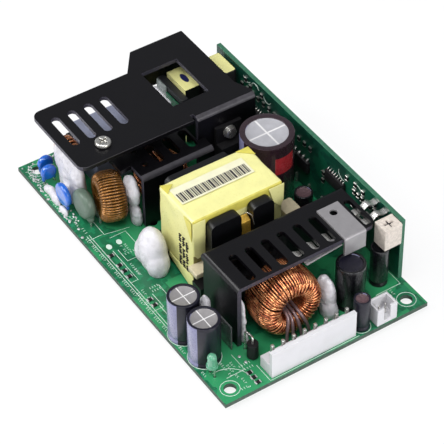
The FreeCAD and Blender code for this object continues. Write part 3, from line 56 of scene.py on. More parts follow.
# Camera, at the angle of the photograph: degrees, and millimetres from the board's middle
CAMERA_AZIMUTH = 57.256
CAMERA_ELEVATION = 44.164
CAMERA_ROLL = -0.894
CAMERA_DISTANCE = 675.73
CAMERA_RIGHT = 2.143
CAMERA_UP = -3.682
CAMERA_AIM_HEIGHT = 10.0 + DECK
CAMERA_LENS = 169.75


def tone(red, green, blue):
    """A colour written as it should look on screen, 0 to 255."""
    return tuple((value / 255) ** 2.2 for value in (red, green, blue)) + (1.0,)


# Finishes

def add_node(tree, kind, **values):
    node = tree.nodes.new("ShaderNode" + kind)
    for key, value in values.items():
        setattr(node, key, value)
    return node


def feed(tree, value, socket):
    """Links an output to a socket, or sets the socket to a plain value."""
    if isinstance(value, bpy.types.NodeSocket):
        tree.links.new(value, socket)
    else:
        socket.default_value = value


def noise(tree, place, size, detail=4.0):
    """A noise whose lumps are about size millimetres across."""
    node = add_node(tree, "TexNoise")
    node.inputs["Scale"].default_value = 1.0 / (size * MM)
    node.inputs["Detail"].default_value = detail
    tree.links.new(place, node.inputs["Vector"])
    return node.outputs["Fac"]


def cells(tree, place, size):
    """Square cells about size millimetres across."""
    node = add_node(tree, "TexVoronoi", distance="CHEBYCHEV")
    node.inputs["Scale"].default_value = 1.0 / (size * MM)
    tree.links.new(place, node.inputs["Vector"])
    return node


def remap(tree, value, low, high, out_low=0.0, out_high=1.0):
    node = add_node(tree, "MapRange")
    for name, number in (("From Min", low), ("From Max", high), ("To Min", out_low), ("To Max", out_high)):
        node.inputs[name].default_value = number
    tree.links.new(value, node.inputs["Value"])
    return node.outputs["Result"]


def blend_colours(tree, factor, first, second):
    """Mixes two colours; each of the three values is plain or an output."""
    node = add_node(tree, "Mix", data_type="RGBA")
    for key, value in (("Factor", factor), (6, first), (7, second)):
        feed(tree, value, node.inputs[key])
    return node.outputs[2]


def roughen(tree, shader, height, strength, depth):
    """A bump of the given depth in millimetres."""
    bump = add_node(tree, "Bump")
    bump.inputs["Strength"].default_value = strength
    bump.inputs["Distance"].default_value = depth * MM
    tree.links.new(height, bump.inputs["Height"])
    tree.links.new(bump.outputs["Normal"], shader.inputs["Normal"])


def shade_of(colour, factor):
    return tuple(min(value * factor, 1.0) for value in colour[:3]) + (1.0,)


def new_finish(name):
    material = bpy.data.materials.new(name)
    material.use_nodes = True
    tree = material.node_tree
    place = add_node(tree, "TexCoord").outputs["Object"]
    return material, tree, tree.nodes["Principled BSDF"], place


def finish(name, colour, rough, metal=0.0, vary=0.1, patch=3.0, grain=0.25, grain_size=0.25,
           coat=0.0, flesh=0.0, second=None, clear=0.0, shine=0.5):
    """Colour with soft patches, uneven gloss and a fine grain."""
    material, tree, shader, place = new_finish(name)
    patches = remap(tree, noise(tree, place, patch), 0.35, 0.65)
    second = second or shade_of(colour, 1 + vary)
    tint = blend_colours(tree, patches, shade_of(colour, 1 - vary), second)
    tree.links.new(tint, shader.inputs["Base Color"])
    fine = noise(tree, place, grain_size, 6.0)
    gloss = remap(tree, fine, 0.3, 0.7, max(rough - 0.07, 0.02), min(rough + 0.07, 1.0))
    tree.links.new(gloss, shader.inputs["Roughness"])
    roughen(tree, shader, fine, grain, grain_size * 0.4)
    shader.inputs["Metallic"].default_value = metal
    shader.inputs["Specular IOR Level"].default_value = shine
    shader.inputs["Coat Weight"].default_value = coat
    shader.inputs["Coat Roughness"].default_value = 0.12
    if flesh:
        shader.inputs["Subsurface Weight"].default_value = flesh
        shader.inputs["Subsurface Radius"].default_value = (0.0012, 0.0012, 0.0010)
    if clear:
        shader.inputs["Transmission Weight"].default_value = clear
    return material


def solder_mask(name, bright, dark, cell, plain):
    """Green lacquer over copper areas and narrow tracks; plain is the share without copper."""
    material, tree, shader, place = new_finish(name)
    split = add_node(tree, "SeparateColor")
    tree.links.new(cells(tree, place, cell).outputs["Color"], split.inputs["Color"])
    copper = remap(tree, split.outputs["Red"], plain, plain + 0.02)
    tracks = remap(tree, cells(tree, place, cell * 0.22).outputs["Distance"], 0.42, 0.50)
    narrow = blend_colours(tree, tracks, dark, shade_of(dark, 1.7))
    areas = blend_colours(tree, copper, narrow, bright)
    soft = remap(tree, noise(tree, place, 6.0), 0.3, 0.7)
    faded = blend_colours(tree, soft, areas, bright)
    tree.links.new(blend_colours(tree, 0.25, areas, faded), shader.inputs["Base Color"])
    gloss = remap(tree, noise(tree, place, 0.8), 0.3, 0.7, 0.28, 0.42)
    tree.links.new(gloss, shader.inputs["Roughness"])
    roughen(tree, shader, copper, 0.35, 0.06)
    return material


BOARD_MASK = solder_mask("board_mask", tone(46, 132, 86), tone(26, 90, 62), 9.0, 0.42)
CARD_MASK = solder_mask("card_mask", tone(20, 78, 58), tone(13, 50, 41), 5.0, 0.55)
BOARD_EDGE = finish("board_edge", tone(62, 78, 68), 0.7, vary=0.2, patch=1.0, grain=0.5, grain_size=0.15)
CARD_EDGE = finish("card_edge", tone(48, 96, 74), 0.7, vary=0.2, patch=1.0, grain=0.5, grain_size=0.15)
SILK = finish("silk_print", tone(196, 212, 202), 0.6, vary=0.06)
BLACK_SHEET = finish("black_sheet", tone(15, 14, 17), 0.34, vary=0.1, patch=6.0, grain=0.10, grain_size=0.12,
                     shine=0.3)
SHEARED = finish("sheared_edge", tone(62, 60, 70), 0.42, 0.3, vary=0.2, patch=0.8, grain=0.5, grain_size=0.2)
# Painted highlight: a lighter grey for the outside of a bend, where light catches the fold.
FOLD_HIGHLIGHT = finish("painted_fold_highlight", tone(66, 64, 68), 0.34, 0.2, vary=0.15, patch=2.0, grain=0.2, grain_size=0.2)
STEEL = finish("plated_steel", tone(196, 194, 188), 0.28, 0.9, vary=0.15, patch=1.0, grain=0.3, grain_size=0.2)
CLIP_STEEL = finish("clip_steel", tone(158, 155, 157), 0.46, 0.6, vary=0.05, patch=3.0, grain=0.3, grain_size=0.12)
TIN = finish("tinned_wire", tone(212, 210, 205), 0.28, 0.9, vary=0.1, patch=0.8, grain=0.3, grain_size=0.2)
DULL_LEAD = finish("dull_lead", tone(138, 116, 118), 0.4, 0.6, vary=0.15, patch=1.0, grain=0.2, grain_size=0.3)
SOLDER = finish("solder", tone(190, 190, 190), 0.3, 0.55, vary=0.1, patch=0.6, grain=0.3, grain_size=0.3)
FERRITE = finish("ferrite", tone(15, 15, 18), 0.4, vary=0.2, patch=1.2, grain=0.5, grain_size=0.2, shine=0.4)
TAPE = finish("yellow_tape", tone(214, 210, 142), 0.32, vary=0.04, patch=5.0, grain=0.10, grain_size=0.5, flesh=0.06)
# Darker tape for the creases and the folded lip: partly the fold, partly painted shade.
TAPE_FOLD_AND_SHADE = finish("tape_fold_and_shade", tone(196, 186, 84), 0.34, vary=0.08, patch=2.0, grain=0.10, grain_size=0.5)
# Painted shade: dark olive for the lower winding, where it lies in shadow.
TAPE_SHADE = finish("tape_painted_shade", tone(112, 104, 52), 0.5, vary=0.15, patch=1.5)
PAPER = finish("label_paper", tone(214, 211, 182), 0.5, vary=0.03, grain=0.2, grain_size=0.1)
INK = finish("black_ink", tone(34, 32, 38), 0.55, vary=0.1, shine=0.3)
BLUE_INK = finish("blue_ink", tone(22, 26, 74), 0.5, vary=0.15, patch=0.6)
BOBBIN = finish("black_bobbin", tone(30, 29, 30), 0.4, vary=0.12, shine=0.4)
MAROON_SLEEVE = finish("maroon_sleeve", tone(44, 31, 37), 0.24, vary=0.12, patch=4.0, grain=0.05, coat=0.5,
                       shine=0.4)
RED_PATCH = finish("red_patch", tone(140, 40, 46), 0.26, vary=0.12, patch=2.0, grain=0.05, coat=0.5)
DARK_SLEEVE = finish("dark_sleeve", tone(26, 25, 36), 0.34, vary=0.2, patch=1.2, grain=0.05, coat=0.12, shine=0.3)
PALE_STRIPE = finish("pale_stripe", tone(116, 116, 148), 0.3, vary=0.08, patch=3.0, grain=0.05, coat=0.3)
CAN_TOP = finish("can_top", tone(138, 135, 136), 0.5, 0.35, vary=0.06, patch=1.5, grain=0.25, grain_size=0.15)
BRIGHT_TOP = finish("bright_can_top", tone(176, 175, 180), 0.45, 0.35, vary=0.06, patch=2.5, grain=0.25,
                    grain_size=0.15)
VENT = finish("vent_line", tone(216, 214, 214), 0.4, 0.2, vary=0.05)
COPPER = finish("copper_wire", tone(168, 82, 50), 0.24, 0.85, vary=0.3, patch=2.2, grain=0.03, grain_size=2.0,
                coat=0.4, second=tone(240, 166, 112))
GOLD_WIRE = finish("amber_wire", tone(134, 90, 40), 0.3, 0.7, vary=0.16, patch=3.0, grain=0.03, grain_size=2.0,
                   coat=0.4)
NYLON = finish("white_nylon", tone(198, 197, 200), 0.42, vary=0.02, patch=4.0, grain=0.15, grain_size=0.2,
               flesh=0.08)
MOULDING = finish("black_moulding", tone(25, 24, 26), 0.5, vary=0.12, patch=1.5, grain=0.5, grain_size=0.12,
                  shine=0.4)
BLUE_DIP = finish("blue_dip", tone(28, 92, 186), 0.16, vary=0.12, patch=1.5, grain=0.10, grain_size=0.6, coat=0.8)
GREEN_DIP = finish("green_dip", tone(88, 104, 92), 0.42, vary=0.08, patch=2.0, grain=0.2, grain_size=0.4)
DARK_DIP = finish("dark_dip", tone(48, 54, 46), 0.35, vary=0.1, patch=2.0, grain=0.2, grain_size=0.4)
GREY_CASE = finish("grey_case", tone(146, 150, 172), 0.36, vary=0.04, patch=5.0, grain=0.15, grain_size=0.2)
CREAM_CASE = finish("cream_case", tone(190, 179, 150), 0.42, vary=0.08, patch=1.2, grain=0.3, grain_size=0.3)
BEIGE_CASE = finish("beige_case", tone(196, 186, 176), 0.42, vary=0.12, patch=0.8, grain=0.5, grain_size=0.35)
SILICONE = finish("white_silicone", tone(200, 198, 203), 0.3, vary=0.05, patch=2.5, grain=0.3, grain_size=1.2,
                  flesh=0.15)
LENS = finish("green_lens", tone(112, 184, 150), 0.12, vary=0.06, patch=1.0, grain=0.04, coat=0.5, flesh=0.3,
              clear=0.4)
RED_TOP = finish("shrunk_sleeve_top", tone(86, 66, 70), 0.4, vary=0.3, patch=0.6, grain=0.5, grain_size=0.4)
BLACK_SLEEVE = finish("black_sleeve", tone(20, 20, 23), 0.3, vary=0.2, patch=1.0, grain=0.05, coat=0.3, shine=0.4)
PALE_PLATE = finish("pale_plate", tone(120, 128, 126), 0.3, vary=0.12, patch=1.0)
GREEN_PLATE = finish("green_plate", tone(36, 92, 66), 0.4, vary=0.3, patch=1.0)
FILM = finish("clear_film", tone(170, 172, 174), 0.12, vary=0.05, grain=0.05, clear=0.85)
FOIL = finish("gold_foil", tone(216, 172, 74), 0.35, 0.6, vary=0.2, patch=0.8, grain=0.4, grain_size=0.5)
GREY_CORE = finish("grey_core", tone(30, 31, 34), 0.5, vary=0.15, patch=1.0, grain=0.4, grain_size=0.2)


# Modelling by hand

def calm():
    """Leaves edit mode with nothing selected."""
    active = bpy.context.view_layer.objects.active
    if active and active.mode != "OBJECT":
        bpy.ops.object.mode_set(mode="OBJECT")
    bpy.ops.object.select_all(action="DESELECT")


def activate(piece):
    calm()
    piece.select_set(True)
    bpy.context.view_layer.objects.active = piece


def settle(name):
    """Names the piece just added and writes its place into its mesh."""
    piece = bpy.context.object
    piece.name = piece.data.name = name
    bpy.ops.object.transform_apply(location=True, rotation=True, scale=True)
    return piece


def block(name, low, high):
    """A box between two corners."""
    calm()
    middle = [(a + b) / 2 * MM for a, b in zip(low, high)]
    bpy.ops.mesh.primitive_cube_add(size=1, location=middle, scale=[(b - a) * MM for a, b in zip(low, high)])
    return settle(name)


def drum(name, centre, radius, length, turn=(0, 0, 0), sides=48):
    """A cylinder about its middle."""
    calm()
    bpy.ops.mesh.primitive_cylinder_add(vertices=sides, radius=radius * MM, depth=length * MM,
                                        location=[value * MM for value in centre], rotation=turn)
    return settle(name)


def ball(name, centre, radii, segments=32, rings=20):
    calm()
    bpy.ops.mesh.primitive_uv_sphere_add(segments=segments, ring_count=rings, radius=MM,
                                         location=[value * MM for value in centre], scale=radii)
    return settle(name)


def spot(part):
    """The middle of a face, edge or point in millimetres."""
    if isinstance(part, bmesh.types.BMVert):
        return part.co / MM
    if isinstance(part, bmesh.types.BMEdge):
        return (part.verts[0].co + part.verts[1].co) / 2 / MM
    return part.calc_center_median() / MM


def choose(piece, test, kind="FACE"):
    """Opens the piece with the parts that pass a test selected; calm() closes it."""
    activate(piece)
    bpy.ops.object.mode_set(mode="EDIT")
    bpy.ops.mesh.select_mode(type=kind)
    bpy.ops.mesh.select_all(action="DESELECT")
    mesh = bmesh.from_edit_mesh(piece.data)
    for part in {"VERT": mesh.verts, "EDGE": mesh.edges, "FACE": mesh.faces}[kind]:
        if test(part):
            part.select_set(True)
    mesh.select_flush_mode()
    bmesh.update_edit_mesh(piece.data)


def everything(part):
    return True


def cut(piece, point, normal, **choices):
    """Bisects the whole piece."""
    choose(piece, everything)
    bpy.ops.mesh.bisect(plane_co=[value * MM for value in point], plane_no=normal, **choices)
    calm()


def shift(piece, test, move, kind="VERT"):
    choose(piece, test, kind)
    bpy.ops.transform.translate(value=[value * MM for value in move])
    calm()


def resize(piece, test, scale, centre, kind="VERT"):
    choose(piece, test, kind)
    bpy.ops.transform.resize(value=scale, center_override=[value * MM for value in centre])
    calm()


def modify(piece, kind, **values):
    """Adds a modifier and applies it."""
    activate(piece)
    modifier = piece.modifiers.new("shape", kind)
    for key, value in values.items():
        setattr(modifier, key, value)
    bpy.ops.object.modifier_apply(modifier=modifier.name)


def soften(piece, width, segments=2, angle=40):
    modify(piece, "BEVEL", width=width * MM, segments=segments, limit_method="ANGLE",
           angle_limit=math.radians(angle))


def subdivide(piece, levels):
    modify(piece, "SUBSURF", levels=levels, render_levels=levels)


def smooth(piece, angle=35):
    activate(piece)
    bpy.ops.object.shade_smooth_by_angle(angle=math.radians(angle))
    calm()


def join(name, pieces):
    calm()
    for piece in pieces:
        piece.select_set(True)
    bpy.context.view_layer.objects.active = pieces[0]
    bpy.ops.object.join()
    pieces[0].name = pieces[0].data.name = name
    calm()
    return pieces[0]


def wires(name, paths, radius, resolution=2):
    """Round wire along each path of points."""
    curve = bpy.data.curves.new(name, "CURVE")
    curve.dimensions = "3D"
    curve.bevel_depth = radius * MM
    curve.bevel_resolution = resolution
    curve.use_fill_caps = True
    for path in paths:
        spline = curve.splines.new("POLY")
        spline.points.add(len(path) - 1)
        for point, place in zip(spline.points, path):
            point.co = (*[value * MM for value in place], 1.0)
    piece = bpy.data.objects.new(name, curve)
    bpy.context.scene.collection.objects.link(piece)
    activate(piece)
    bpy.ops.object.convert(target="MESH")
    return settle(name)


def bent(points, steps=6):
    """A path with its corners rounded, through the middles of its runs."""
    path = [Vector(points[0])]
    for before, corner, after in zip(points, points[1:], points[2:]):
        before, corner, after = Vector(before), Vector(corner), Vector(after)
        reach = min((before - corner).length, (after - corner).length) * 0.45
        start = corner + (before - corner).normalized() * reach
        end = corner + (after - corner).normalized() * reach
        for i in range(steps + 1):
            t = i / steps
            path.append(start * (1 - t) ** 2 + corner * 2 * t * (1 - t) + end * t ** 2)
    path.append(Vector(points[-1]))
    return path


def paint(piece, index, test):
    """Gives the faces that pass a test another of the piece's finishes."""
    for face in piece.data.polygons:
        if test(face.center / MM, face.normal):
            face.material_index = index


def paint_below(piece, index, level):
    paint(piece, index, lambda place, normal: place.z < level)


def dress(piece, finishes, stands_for=(), angle=35, even=False):
    """Finishes a piece, sets it on the part and hides the CAD parts it stands for."""
    piece.data.materials.clear()
    for item in finishes:
        piece.data.materials.append(item)
    for face in piece.data.polygons:
        face.material_index = 0
    smooth(piece, angle)
    if even:
        modify(piece, "WEIGHTED_NORMAL", keep_sharp=True, weight=100)
    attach(piece, "root")
    if stands_for:
        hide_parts(*stands_for)
    return piece


def box_of(node):
    low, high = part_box(node)
    return low / MM, high / MM


def middle_of(low, high):
    return (low.x + high.x) / 2, (low.y + high.y) / 2


def straight_leads(name, tops, radius):
    """Tinned leads from the lead tips straight up to each of the given points."""
    dress(wires(name, [[(x, y, 0), (x, y, z)] for x, y, z in tops], radius), [TIN])


def melt(piece, cell, factor, rounds):
    """Runs the lobes of a piece into one smooth skin."""
    modify(piece, "REMESH", mode="VOXEL", voxel_size=cell * MM)
    modify(piece, "SMOOTH", factor=factor, iterations=rounds)


def rounded_copy(node, finishes, width=0.12, segments=2, name=None):
    """A copy of a CAD node with its sharp edges rounded, in its place."""
    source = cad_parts[node]
    piece = bpy.data.objects.new(name or f"{node}_dressed", source.data.copy())
    bpy.context.scene.collection.objects.link(piece)
    choose(piece, everything)
    bpy.ops.mesh.customdata_custom_splitnormals_clear()
    bpy.ops.mesh.remove_doubles(threshold=0.000002)
    bpy.ops.mesh.select_all(action="SELECT")
    bpy.ops.mesh.dissolve_limited(angle_limit=math.radians(1.0))
    calm()
    if width:
        soften(piece, width, segments)
    return dress(piece, finishes, (node,), even=True)


def refinish(node, material):
    """A better finish on a CAD node that stays."""
    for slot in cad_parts[node].material_slots:
        slot.material = material


# Board and its print

def board():
    sheet = rounded_copy("main_board", [BOARD_MASK, BOARD_EDGE], 0)
    paint(sheet, 1, lambda place, normal: abs(normal.z) < 0.5)
    refinish("solder_joints", SOLDER)
    refinish("control_card_pins", TIN)
    for node in ("output_inductor_core", "boost_inductor_core", "input_choke_core", "common_mode_choke_core"):
        refinish(node, FERRITE)
    refinish("insulation_sheet", FILM)
    board_print()
    board_marks()
    board_pads()


def circle_path(x, y, radius, start=0, end=360, steps=40):
    return [(x + radius * math.cos(math.radians(start + (end - start) * i / steps)),
             y + radius * math.sin(math.radians(start + (end - start) * i / steps)), DECK)
            for i in range(steps + 1)]


def board_print():
    """White lines: rings round the holes and pieces, and outlines."""
    paths = [circle_path(x, y, 3.1) for x in (-HOLE_X, HOLE_X) for y in (-HOLE_Y, HOLE_Y)]
    paths.append(circle_path(HOLE_X, -HOLE_Y, 8.0, 78, 188))
    paths += [circle_path(32.0, -32.6, 5.35), circle_path(43.5, -32.6, 5.35), circle_path(60.0, 14.75, 3.1)]
    outlines = (
        [(-22, -34.9), (31, -34.9)],
        [(-22, -35.8), (31, -35.8)],
        [(-20, -31.2), (-20, -36.4)],
        [(-11.5, -32.2), (4.0, -32.2), (4.0, -34.9)],
        [(-11, -30.6), (-5, -30.6), (-5, -25)],
        [(55.4, -21.4), (63.0, -21.4), (63.0, 12.0)],
        [(9.5, -28.0), (16.0, -28.0), (16.0, -23.0)],
        [(12, -31.8), (18.6, -31.8), (18.6, -34.9)],
        [(52.6, 23.6), (56.6, 23.6), (56.6, 18.2)],
        [(-33, -22.0), (-31.4, -30.6), (-19.6, -30.6), (-18.0, -22.0)],
        [(-17.2, -30.0), (-17.2, -24.0), (-9.4, -24.0)],
        [(17.6, -32.6), (25.4, -32.6), (25.4, -25.0)],
        [(47.6, -25.4), (54.8, -25.4), (54.8, -32.0)],
        [(43.6, 36.0), (52.0, 36.0), (52.0, 26.4)],
    )
    paths += [[(x, y, DECK) for x, y in outline] for outline in outlines]
    dress(wires("board_print", paths, 0.1, 1), [SILK])


def board_marks():
    """Plain strokes in columns and rows, in the places of the fine print."""
    marks = []
    columns = ((-8.5, -29.6, 5, 0, 1.0), (9.0, -31.2, 4, 0, 0.9), (10.6, -31.2, 4, 0, 0.9), (-1.5, -31.0, 4, 1.1, 0),
               (52.6, -26.2, 5, 0, 0.9), (54.4, -26.2, 5, 0, 0.9), (-26, -35.6, 3, 1.2, 0), (60.6, -30.6, 3, 0, 0.9),
               (34, -37.3, 3, 1.1, 0), (54.2, 27.4, 4, 0, 1.0), (56.0, 27.4, 4, 0, 1.0), (-38, -37, 3, 1.2, 0))
    for x, y, count, step_x, step_y in columns:
        long_x, long_y = (0.85, 0.16) if step_x == 0 else (0.16, 0.85)
        for i in range(count):
            u, v = x + i * step_x, y + i * step_y
            marks.append(block("mark", (u, v, DECK), (u + long_x, v + long_y, DECK + 0.04)))
    rows = ((-21, -36.9, 52, 0.95, 0), (53.0, 24.6, 10, 0.95, 1), (53.0, 26.0, 10, 0.95, 2), (53.0, 27.4, 9, 0.95, 3),
            (54.4, 29.4, 5, 0.95, 4), (52.6, 31.2, 4, 0.95, 0), (-60, -37.3, 26, 1.1, 1), (-59, -36.3, 24, 1.1, 2),
            (-58, -35.2, 8, 1.1, 3), (-12.2, -29.2, 4, 0.95, 1), (-12.2, -27.8, 4, 0.95, 2),
            (-3.5, -30.8, 7, 0.95, 3), (8.6, -34.0, 5, 0.95, 0), (20.2, -31.0, 7, 0.95, 4),
            (20.2, -29.6, 6, 0.95, 2), (19.4, -26.0, 8, 0.95, 1), (48.8, -30.6, 7, 0.95, 2),
            (49.4, -29.2, 8, 0.95, 4), (50.0, -27.8, 4, 0.95, 0), (45.6, -37.2, 6, 0.95, 3),
            (8.0, -36.0, 12, 0.95, 4), (34.0, -37.4, 8, 0.95, 1), (57.4, -28.4, 5, 0.95, 0),
            (-33, -36.0, 6, 0.95, 3))
    for x, y, count, step, first in rows:
        for i in range(count):
            shape = (i * 3 + first) % 5
            u = x + i * step
            if shape != 4:
                marks.append(block("mark", (u, y, DECK), (u + 0.14, y + 0.85 - 0.2 * (shape % 2), DECK + 0.03)))
            if shape in (0, 2, 3):
                marks.append(block("mark", (u, y, DECK), (u + 0.5, y + 0.13, DECK + 0.03)))
            if shape in (1, 2):
                marks.append(block("mark", (u, y + 0.5, DECK), (u + 0.5, y + 0.63, DECK + 0.03)))
    dress(join("board_marks", marks), [SILK])


def scatter(count, x, width, y, depth):
    """An even scatter of places over a rectangle from its corner at x, y."""
    for i in range(count):
        yield i, x + (i * 0.6180339887 % 1) * width, y + (i * 0.7548776662 % 1) * depth


def board_pads():
    """Two oval test pads, and the bright solder dots of the near and the left edge."""
    pads = []
    for x, y in ((-13.8, -32.3), (-14.0, -28.4)):
        pad = drum("pad", (x, y, DECK + 0.05), 1.1, 0.1, sides=24)
        resize(pad, everything, (1.1, 0.85, 1), (x, y, DECK))
        soften(pad, 0.02, 1)
        pads.append(pad)
    dress(join("test_pads", pads), [SILK])
    dots = [ball("pad", (x, y, DECK), (0.55, 0.55, 0.3), 16, 8) for x, y in (
        (-26.5, -36.2), (-22.4, -37.2), (-34.0, -37.0), (52.5, -23.4), (49.5, -23.8), (-31.5, -36.6), (-55.2, -36.4),
        (-49.2, -37.2), (-44.4, -37.4))]
    for i, x, y in scatter(58, -62.2, 33, -37.2, 3.4):
        dots.append(ball("pad", (x, y, DECK), (0.34 + 0.16 * (i % 3), 0.34, 0.24), 12, 6))
    for i, x, y in scatter(26, -62.4, 4.4, -33.0, 10.0):
        if math.hypot(x + HOLE_X, y + HOLE_Y) > 3.6:
            dots.append(ball("pad", (x, y, DECK), (0.4, 0.34 + 0.14 * (i % 3), 0.24), 12, 6))
    dress(join("board_pads", dots), [SOLDER])


# Round capacitors

def can(node, sleeve, stripe_start, stripe_end, rim, pitch, lead, patch=(), top_finish=CAN_TOP):
    """A sleeved can: crimp groove, rolled rim, bright top with a cross vent, stripe, leads."""
    low, high = box_of(node)
    x, y = middle_of(low, high)
    radius, top = (high.x - low.x) / 2, high.z
    inner, vent_width = radius - rim, 0.036 * radius

    def on_dish(place):
        return abs(place.z - top + DISH) < 0.02

    def in_cross(place):
        near = min(abs(place.x - x), abs(place.y - y))
        return near < vent_width and math.hypot(place.x - x, place.y - y) < inner

    def on_arm(part):
        ends = [vert.co / MM for vert in part.verts]
        along_x = all(abs(end.y - y) < 0.01 for end in ends)
        along_y = all(abs(end.x - x) < 0.01 for end in ends)
        return on_dish(spot(part)) and (along_x or along_y)

    def angle_of(place):
        return math.degrees(math.atan2(place.y - y, place.x - x))

    piece = drum(f"{node}_can", (x, y, (DECK + top) / 2), radius, top - DECK, sides=64)
    for height in (*CRIMP, top - DECK - 1.2, *patch):
        cut(piece, (x, y, DECK + height), (0, 0, 1))
    squeeze = (radius - 0.4) / radius
    resize(piece, lambda part: abs(spot(part).z - DECK - CRIMP[1]) < 0.05, (squeeze, squeeze, 1), (x, y, DECK))
    choose(piece, lambda part: spot(part).z > top - 0.01)
    bpy.ops.mesh.inset(thickness=rim * MM)
    bpy.ops.mesh.extrude_region_move(TRANSFORM_OT_translate={"value": (0, 0, -DISH * MM)})
    calm()
    for normal in ((1, 0, 0), (0, 1, 0)):
        choose(piece, lambda part: part.normal.z > 0.9 and on_dish(spot(part)))
        bpy.ops.mesh.bisect(plane_co=(x * MM, y * MM, top * MM), plane_no=normal)
        calm()
    choose(piece, on_arm, "EDGE")
    bpy.ops.mesh.bevel(offset=0.035 * radius * MM, affect="EDGES", segments=1)
    calm()
    shift(piece, lambda part: part.normal.z > 0.9 and on_dish(spot(part)) and in_cross(spot(part)), (0, 0, -0.12),
          "FACE")
    soften(piece, min(0.3, radius * 0.06), 2, 50)

    vent = VENT if top_finish in (CAN_TOP, BRIGHT_TOP) else top_finish
    dress(piece, [sleeve, PALE_STRIPE, top_finish, vent, RED_PATCH], (node,), 50)
    paint(piece, 1, lambda place, normal: abs(normal.z) < 0.75 and stripe_start < angle_of(place) < stripe_end
          and place.z > DECK + 0.5)
    paint(piece, 2, lambda place, normal: normal.z > 0.5 and top - 1 < place.z < top - 0.05
          and math.hypot(place.x - x, place.y - y) < inner - 0.05)
    paint(piece, 3, lambda place, normal: normal.z > 0.5 and top - 0.6 < place.z < top - 0.3 and in_cross(place))
    if patch:
        paint(piece, 4, lambda place, normal: abs(normal.z) < 0.5 and -18 < angle_of(place) < 36
              and patch[0] < place.z - DECK < patch[1])
    straight_leads(f"{node}_leads", [(x + side * pitch / 2, y, DECK + 0.4) for side in (-1, 1)], lead / 2)


def capacitors():
    can("bulk_capacitor", MAROON_SLEEVE, -152, -92, 1.9, 7.5, 0.8, (16.5, 23.5),
        BRIGHT_TOP)
    for number in (1, 2):
        can(f"output_capacitor_{number}", DARK_SLEEVE, -150, -54, 0.95, 5.0, 0.6)
    can("filter_capacitor", BLACK_SLEEVE, 100, 140, 0.9, 5.0, 0.6, top_finish=DARK_SLEEVE)
    can("fan_capacitor", DARK_SLEEVE, 100, 140, 0.6, 2.5, 0.6, top_finish=RED_TOP)
    can("control_capacitor", BLACK_SLEEVE, 100, 140, 0.6, 2.5, 0.6, top_finish=BLACK_SLEEVE)
    can("card_capacitor", BLACK_SLEEVE, 70, 120, 0.6, 2.5, 0.6, top_finish=RED_TOP)


# Windings

def squared(value, squareness):
    """A sine or cosine pulled outwards, so that the circle it draws is a rounded square."""
    return math.copysign(abs(value) ** (2 / squareness), value)


def ring_turns(centre, heading, inner, outer, half, turns, start, sweep, squareness=3.4, stray=0.0, steps=30):
    """One wire wound round a ring's section, its axis along heading degrees from +X.

    A stray above 0 lets the turns wander a little along the ring and dip into it.
    """
    path = []
    middle, reach, dip = (inner + outer) / 2, (outer - inner) / 2, 0.02 * stray
    c, d = math.cos(math.radians(heading)), math.sin(math.radians(heading))
    for i in range(int(turns * steps) + 1):
        turn = i / steps
        phase = math.tau * turn + math.pi / 2
        wander = math.sin(turn * 1.9) + 0.6 * math.sin(turn * 0.83 + start)
        angle = math.radians(start + sweep * turn / turns + stray * 1.2 * wander)
        radial = middle + squared(math.cos(phase), squareness) * reach * (1 - dip * (1 + wander))
        side = squared(math.sin(phase), squareness) * half * (1 - dip * (1 - wander))
        u, w = radial * math.cos(angle), radial * math.sin(angle)
        path.append((centre[0] + side * c - u * d, centre[1] + side * d + u * c, centre[2] + w))
    return path


def coil(name, node, material, centre, heading, inner, outer, half, runs, wire, stray=0.0, squareness=3.4):
    """A wound ring from one or more runs of wire, each a start, a sweep and its turns."""
    paths = [ring_turns(centre, heading, inner, outer - wire, half - wire, turns, start, sweep, squareness, stray)
             for start, sweep, turns in runs]
    dress(wires(name, paths, wire), [material], (node,), 60)


def output_inductor():
    """Two layers of thick copper wire on an upright ring, and four grey ends down to the board."""
    x, y, z = 45.0, -4.6, DECK + 0.1 + 11.5
    layers = [ring_turns((x, y, z), 0, 4.0 + 0.75 * layer, 11.12, 7.1 - 0.45 * layer, 38, -96 + layer * 4.7, 356, 2.7,
                         0.5, 32) for layer in range(2)]
    dress(wires("output_inductor_wire", layers, 0.36), [COPPER], ("output_inductor_winding",), 70)
    front = x + 7.3
    ends = [bent([(x + 1.0, y + across, z + rise), (front - 0.6, y + across, z + rise - 0.6),
                  (front + 1.1, y + foot * 0.9, DECK + 3.5), (front + 1.7, y + foot, DECK - 1.2)])
            for across, rise, foot in ((-2.4, -1.0, -4.6), (-1.2, -1.8, -2.0), (0.4, -2.2, 1.2), (1.8, -1.8, 4.4))]
    dress(wires("output_inductor_tails", ends, 0.55, 3), [DULL_LEAD], angle=60)


def common_mode_choke():
    """Two half windings on an upright ring that stands at an angle on the board."""
    x, y, heading = -25.7, -24.4, 75
    halves = [(-89 + side, 178, 25) for side in (0, 180)]
    coil("common_mode_choke_wire", "common_mode_choke_winding", GOLD_WIRE, (x, y, DECK + 0.6 + 8.7),
         heading, 2.9, 8.7, 4.5, halves, 0.42, 0.12, 2.8)
    c, d = math.cos(math.radians(heading)), math.sin(math.radians(heading))
    tops = [(x + u * c - v * d, y + u * d + v * c, DECK + 5.0) for v in (-1.5, 1.5) for u in (-4.0, 4.0)]
    straight_leads("common_mode_choke_legs", tops, 0.45)


def small_rings():
    for node, name, heading, wire, turns, inner in (
            ("boost_inductor_winding", "boost_inductor_wire", 0, 0.5, 30, 3.6),
            ("input_choke_winding", "input_choke_wire", 90, 0.42, 26, 2.6)):
        low, high = box_of(node)
        x, y = middle_of(low, high)
        reach = high - low
        radius, half = (reach.y / 2, reach.x / 2) if heading == 0 else (reach.x / 2, reach.y / 2)
        coil(name, node, COPPER, (x, y, high.z - radius), heading, inner, radius, half,
             [(-92, 356, turns)], wire, 0.3)
        tops = [(x + away, y, DECK + 3) if heading == 0 else (x, y + away, DECK + 3)
                for away in (wire - half, half - wire)]
        straight_leads(f"{name}_legs", tops, 0.4)


# Transformer

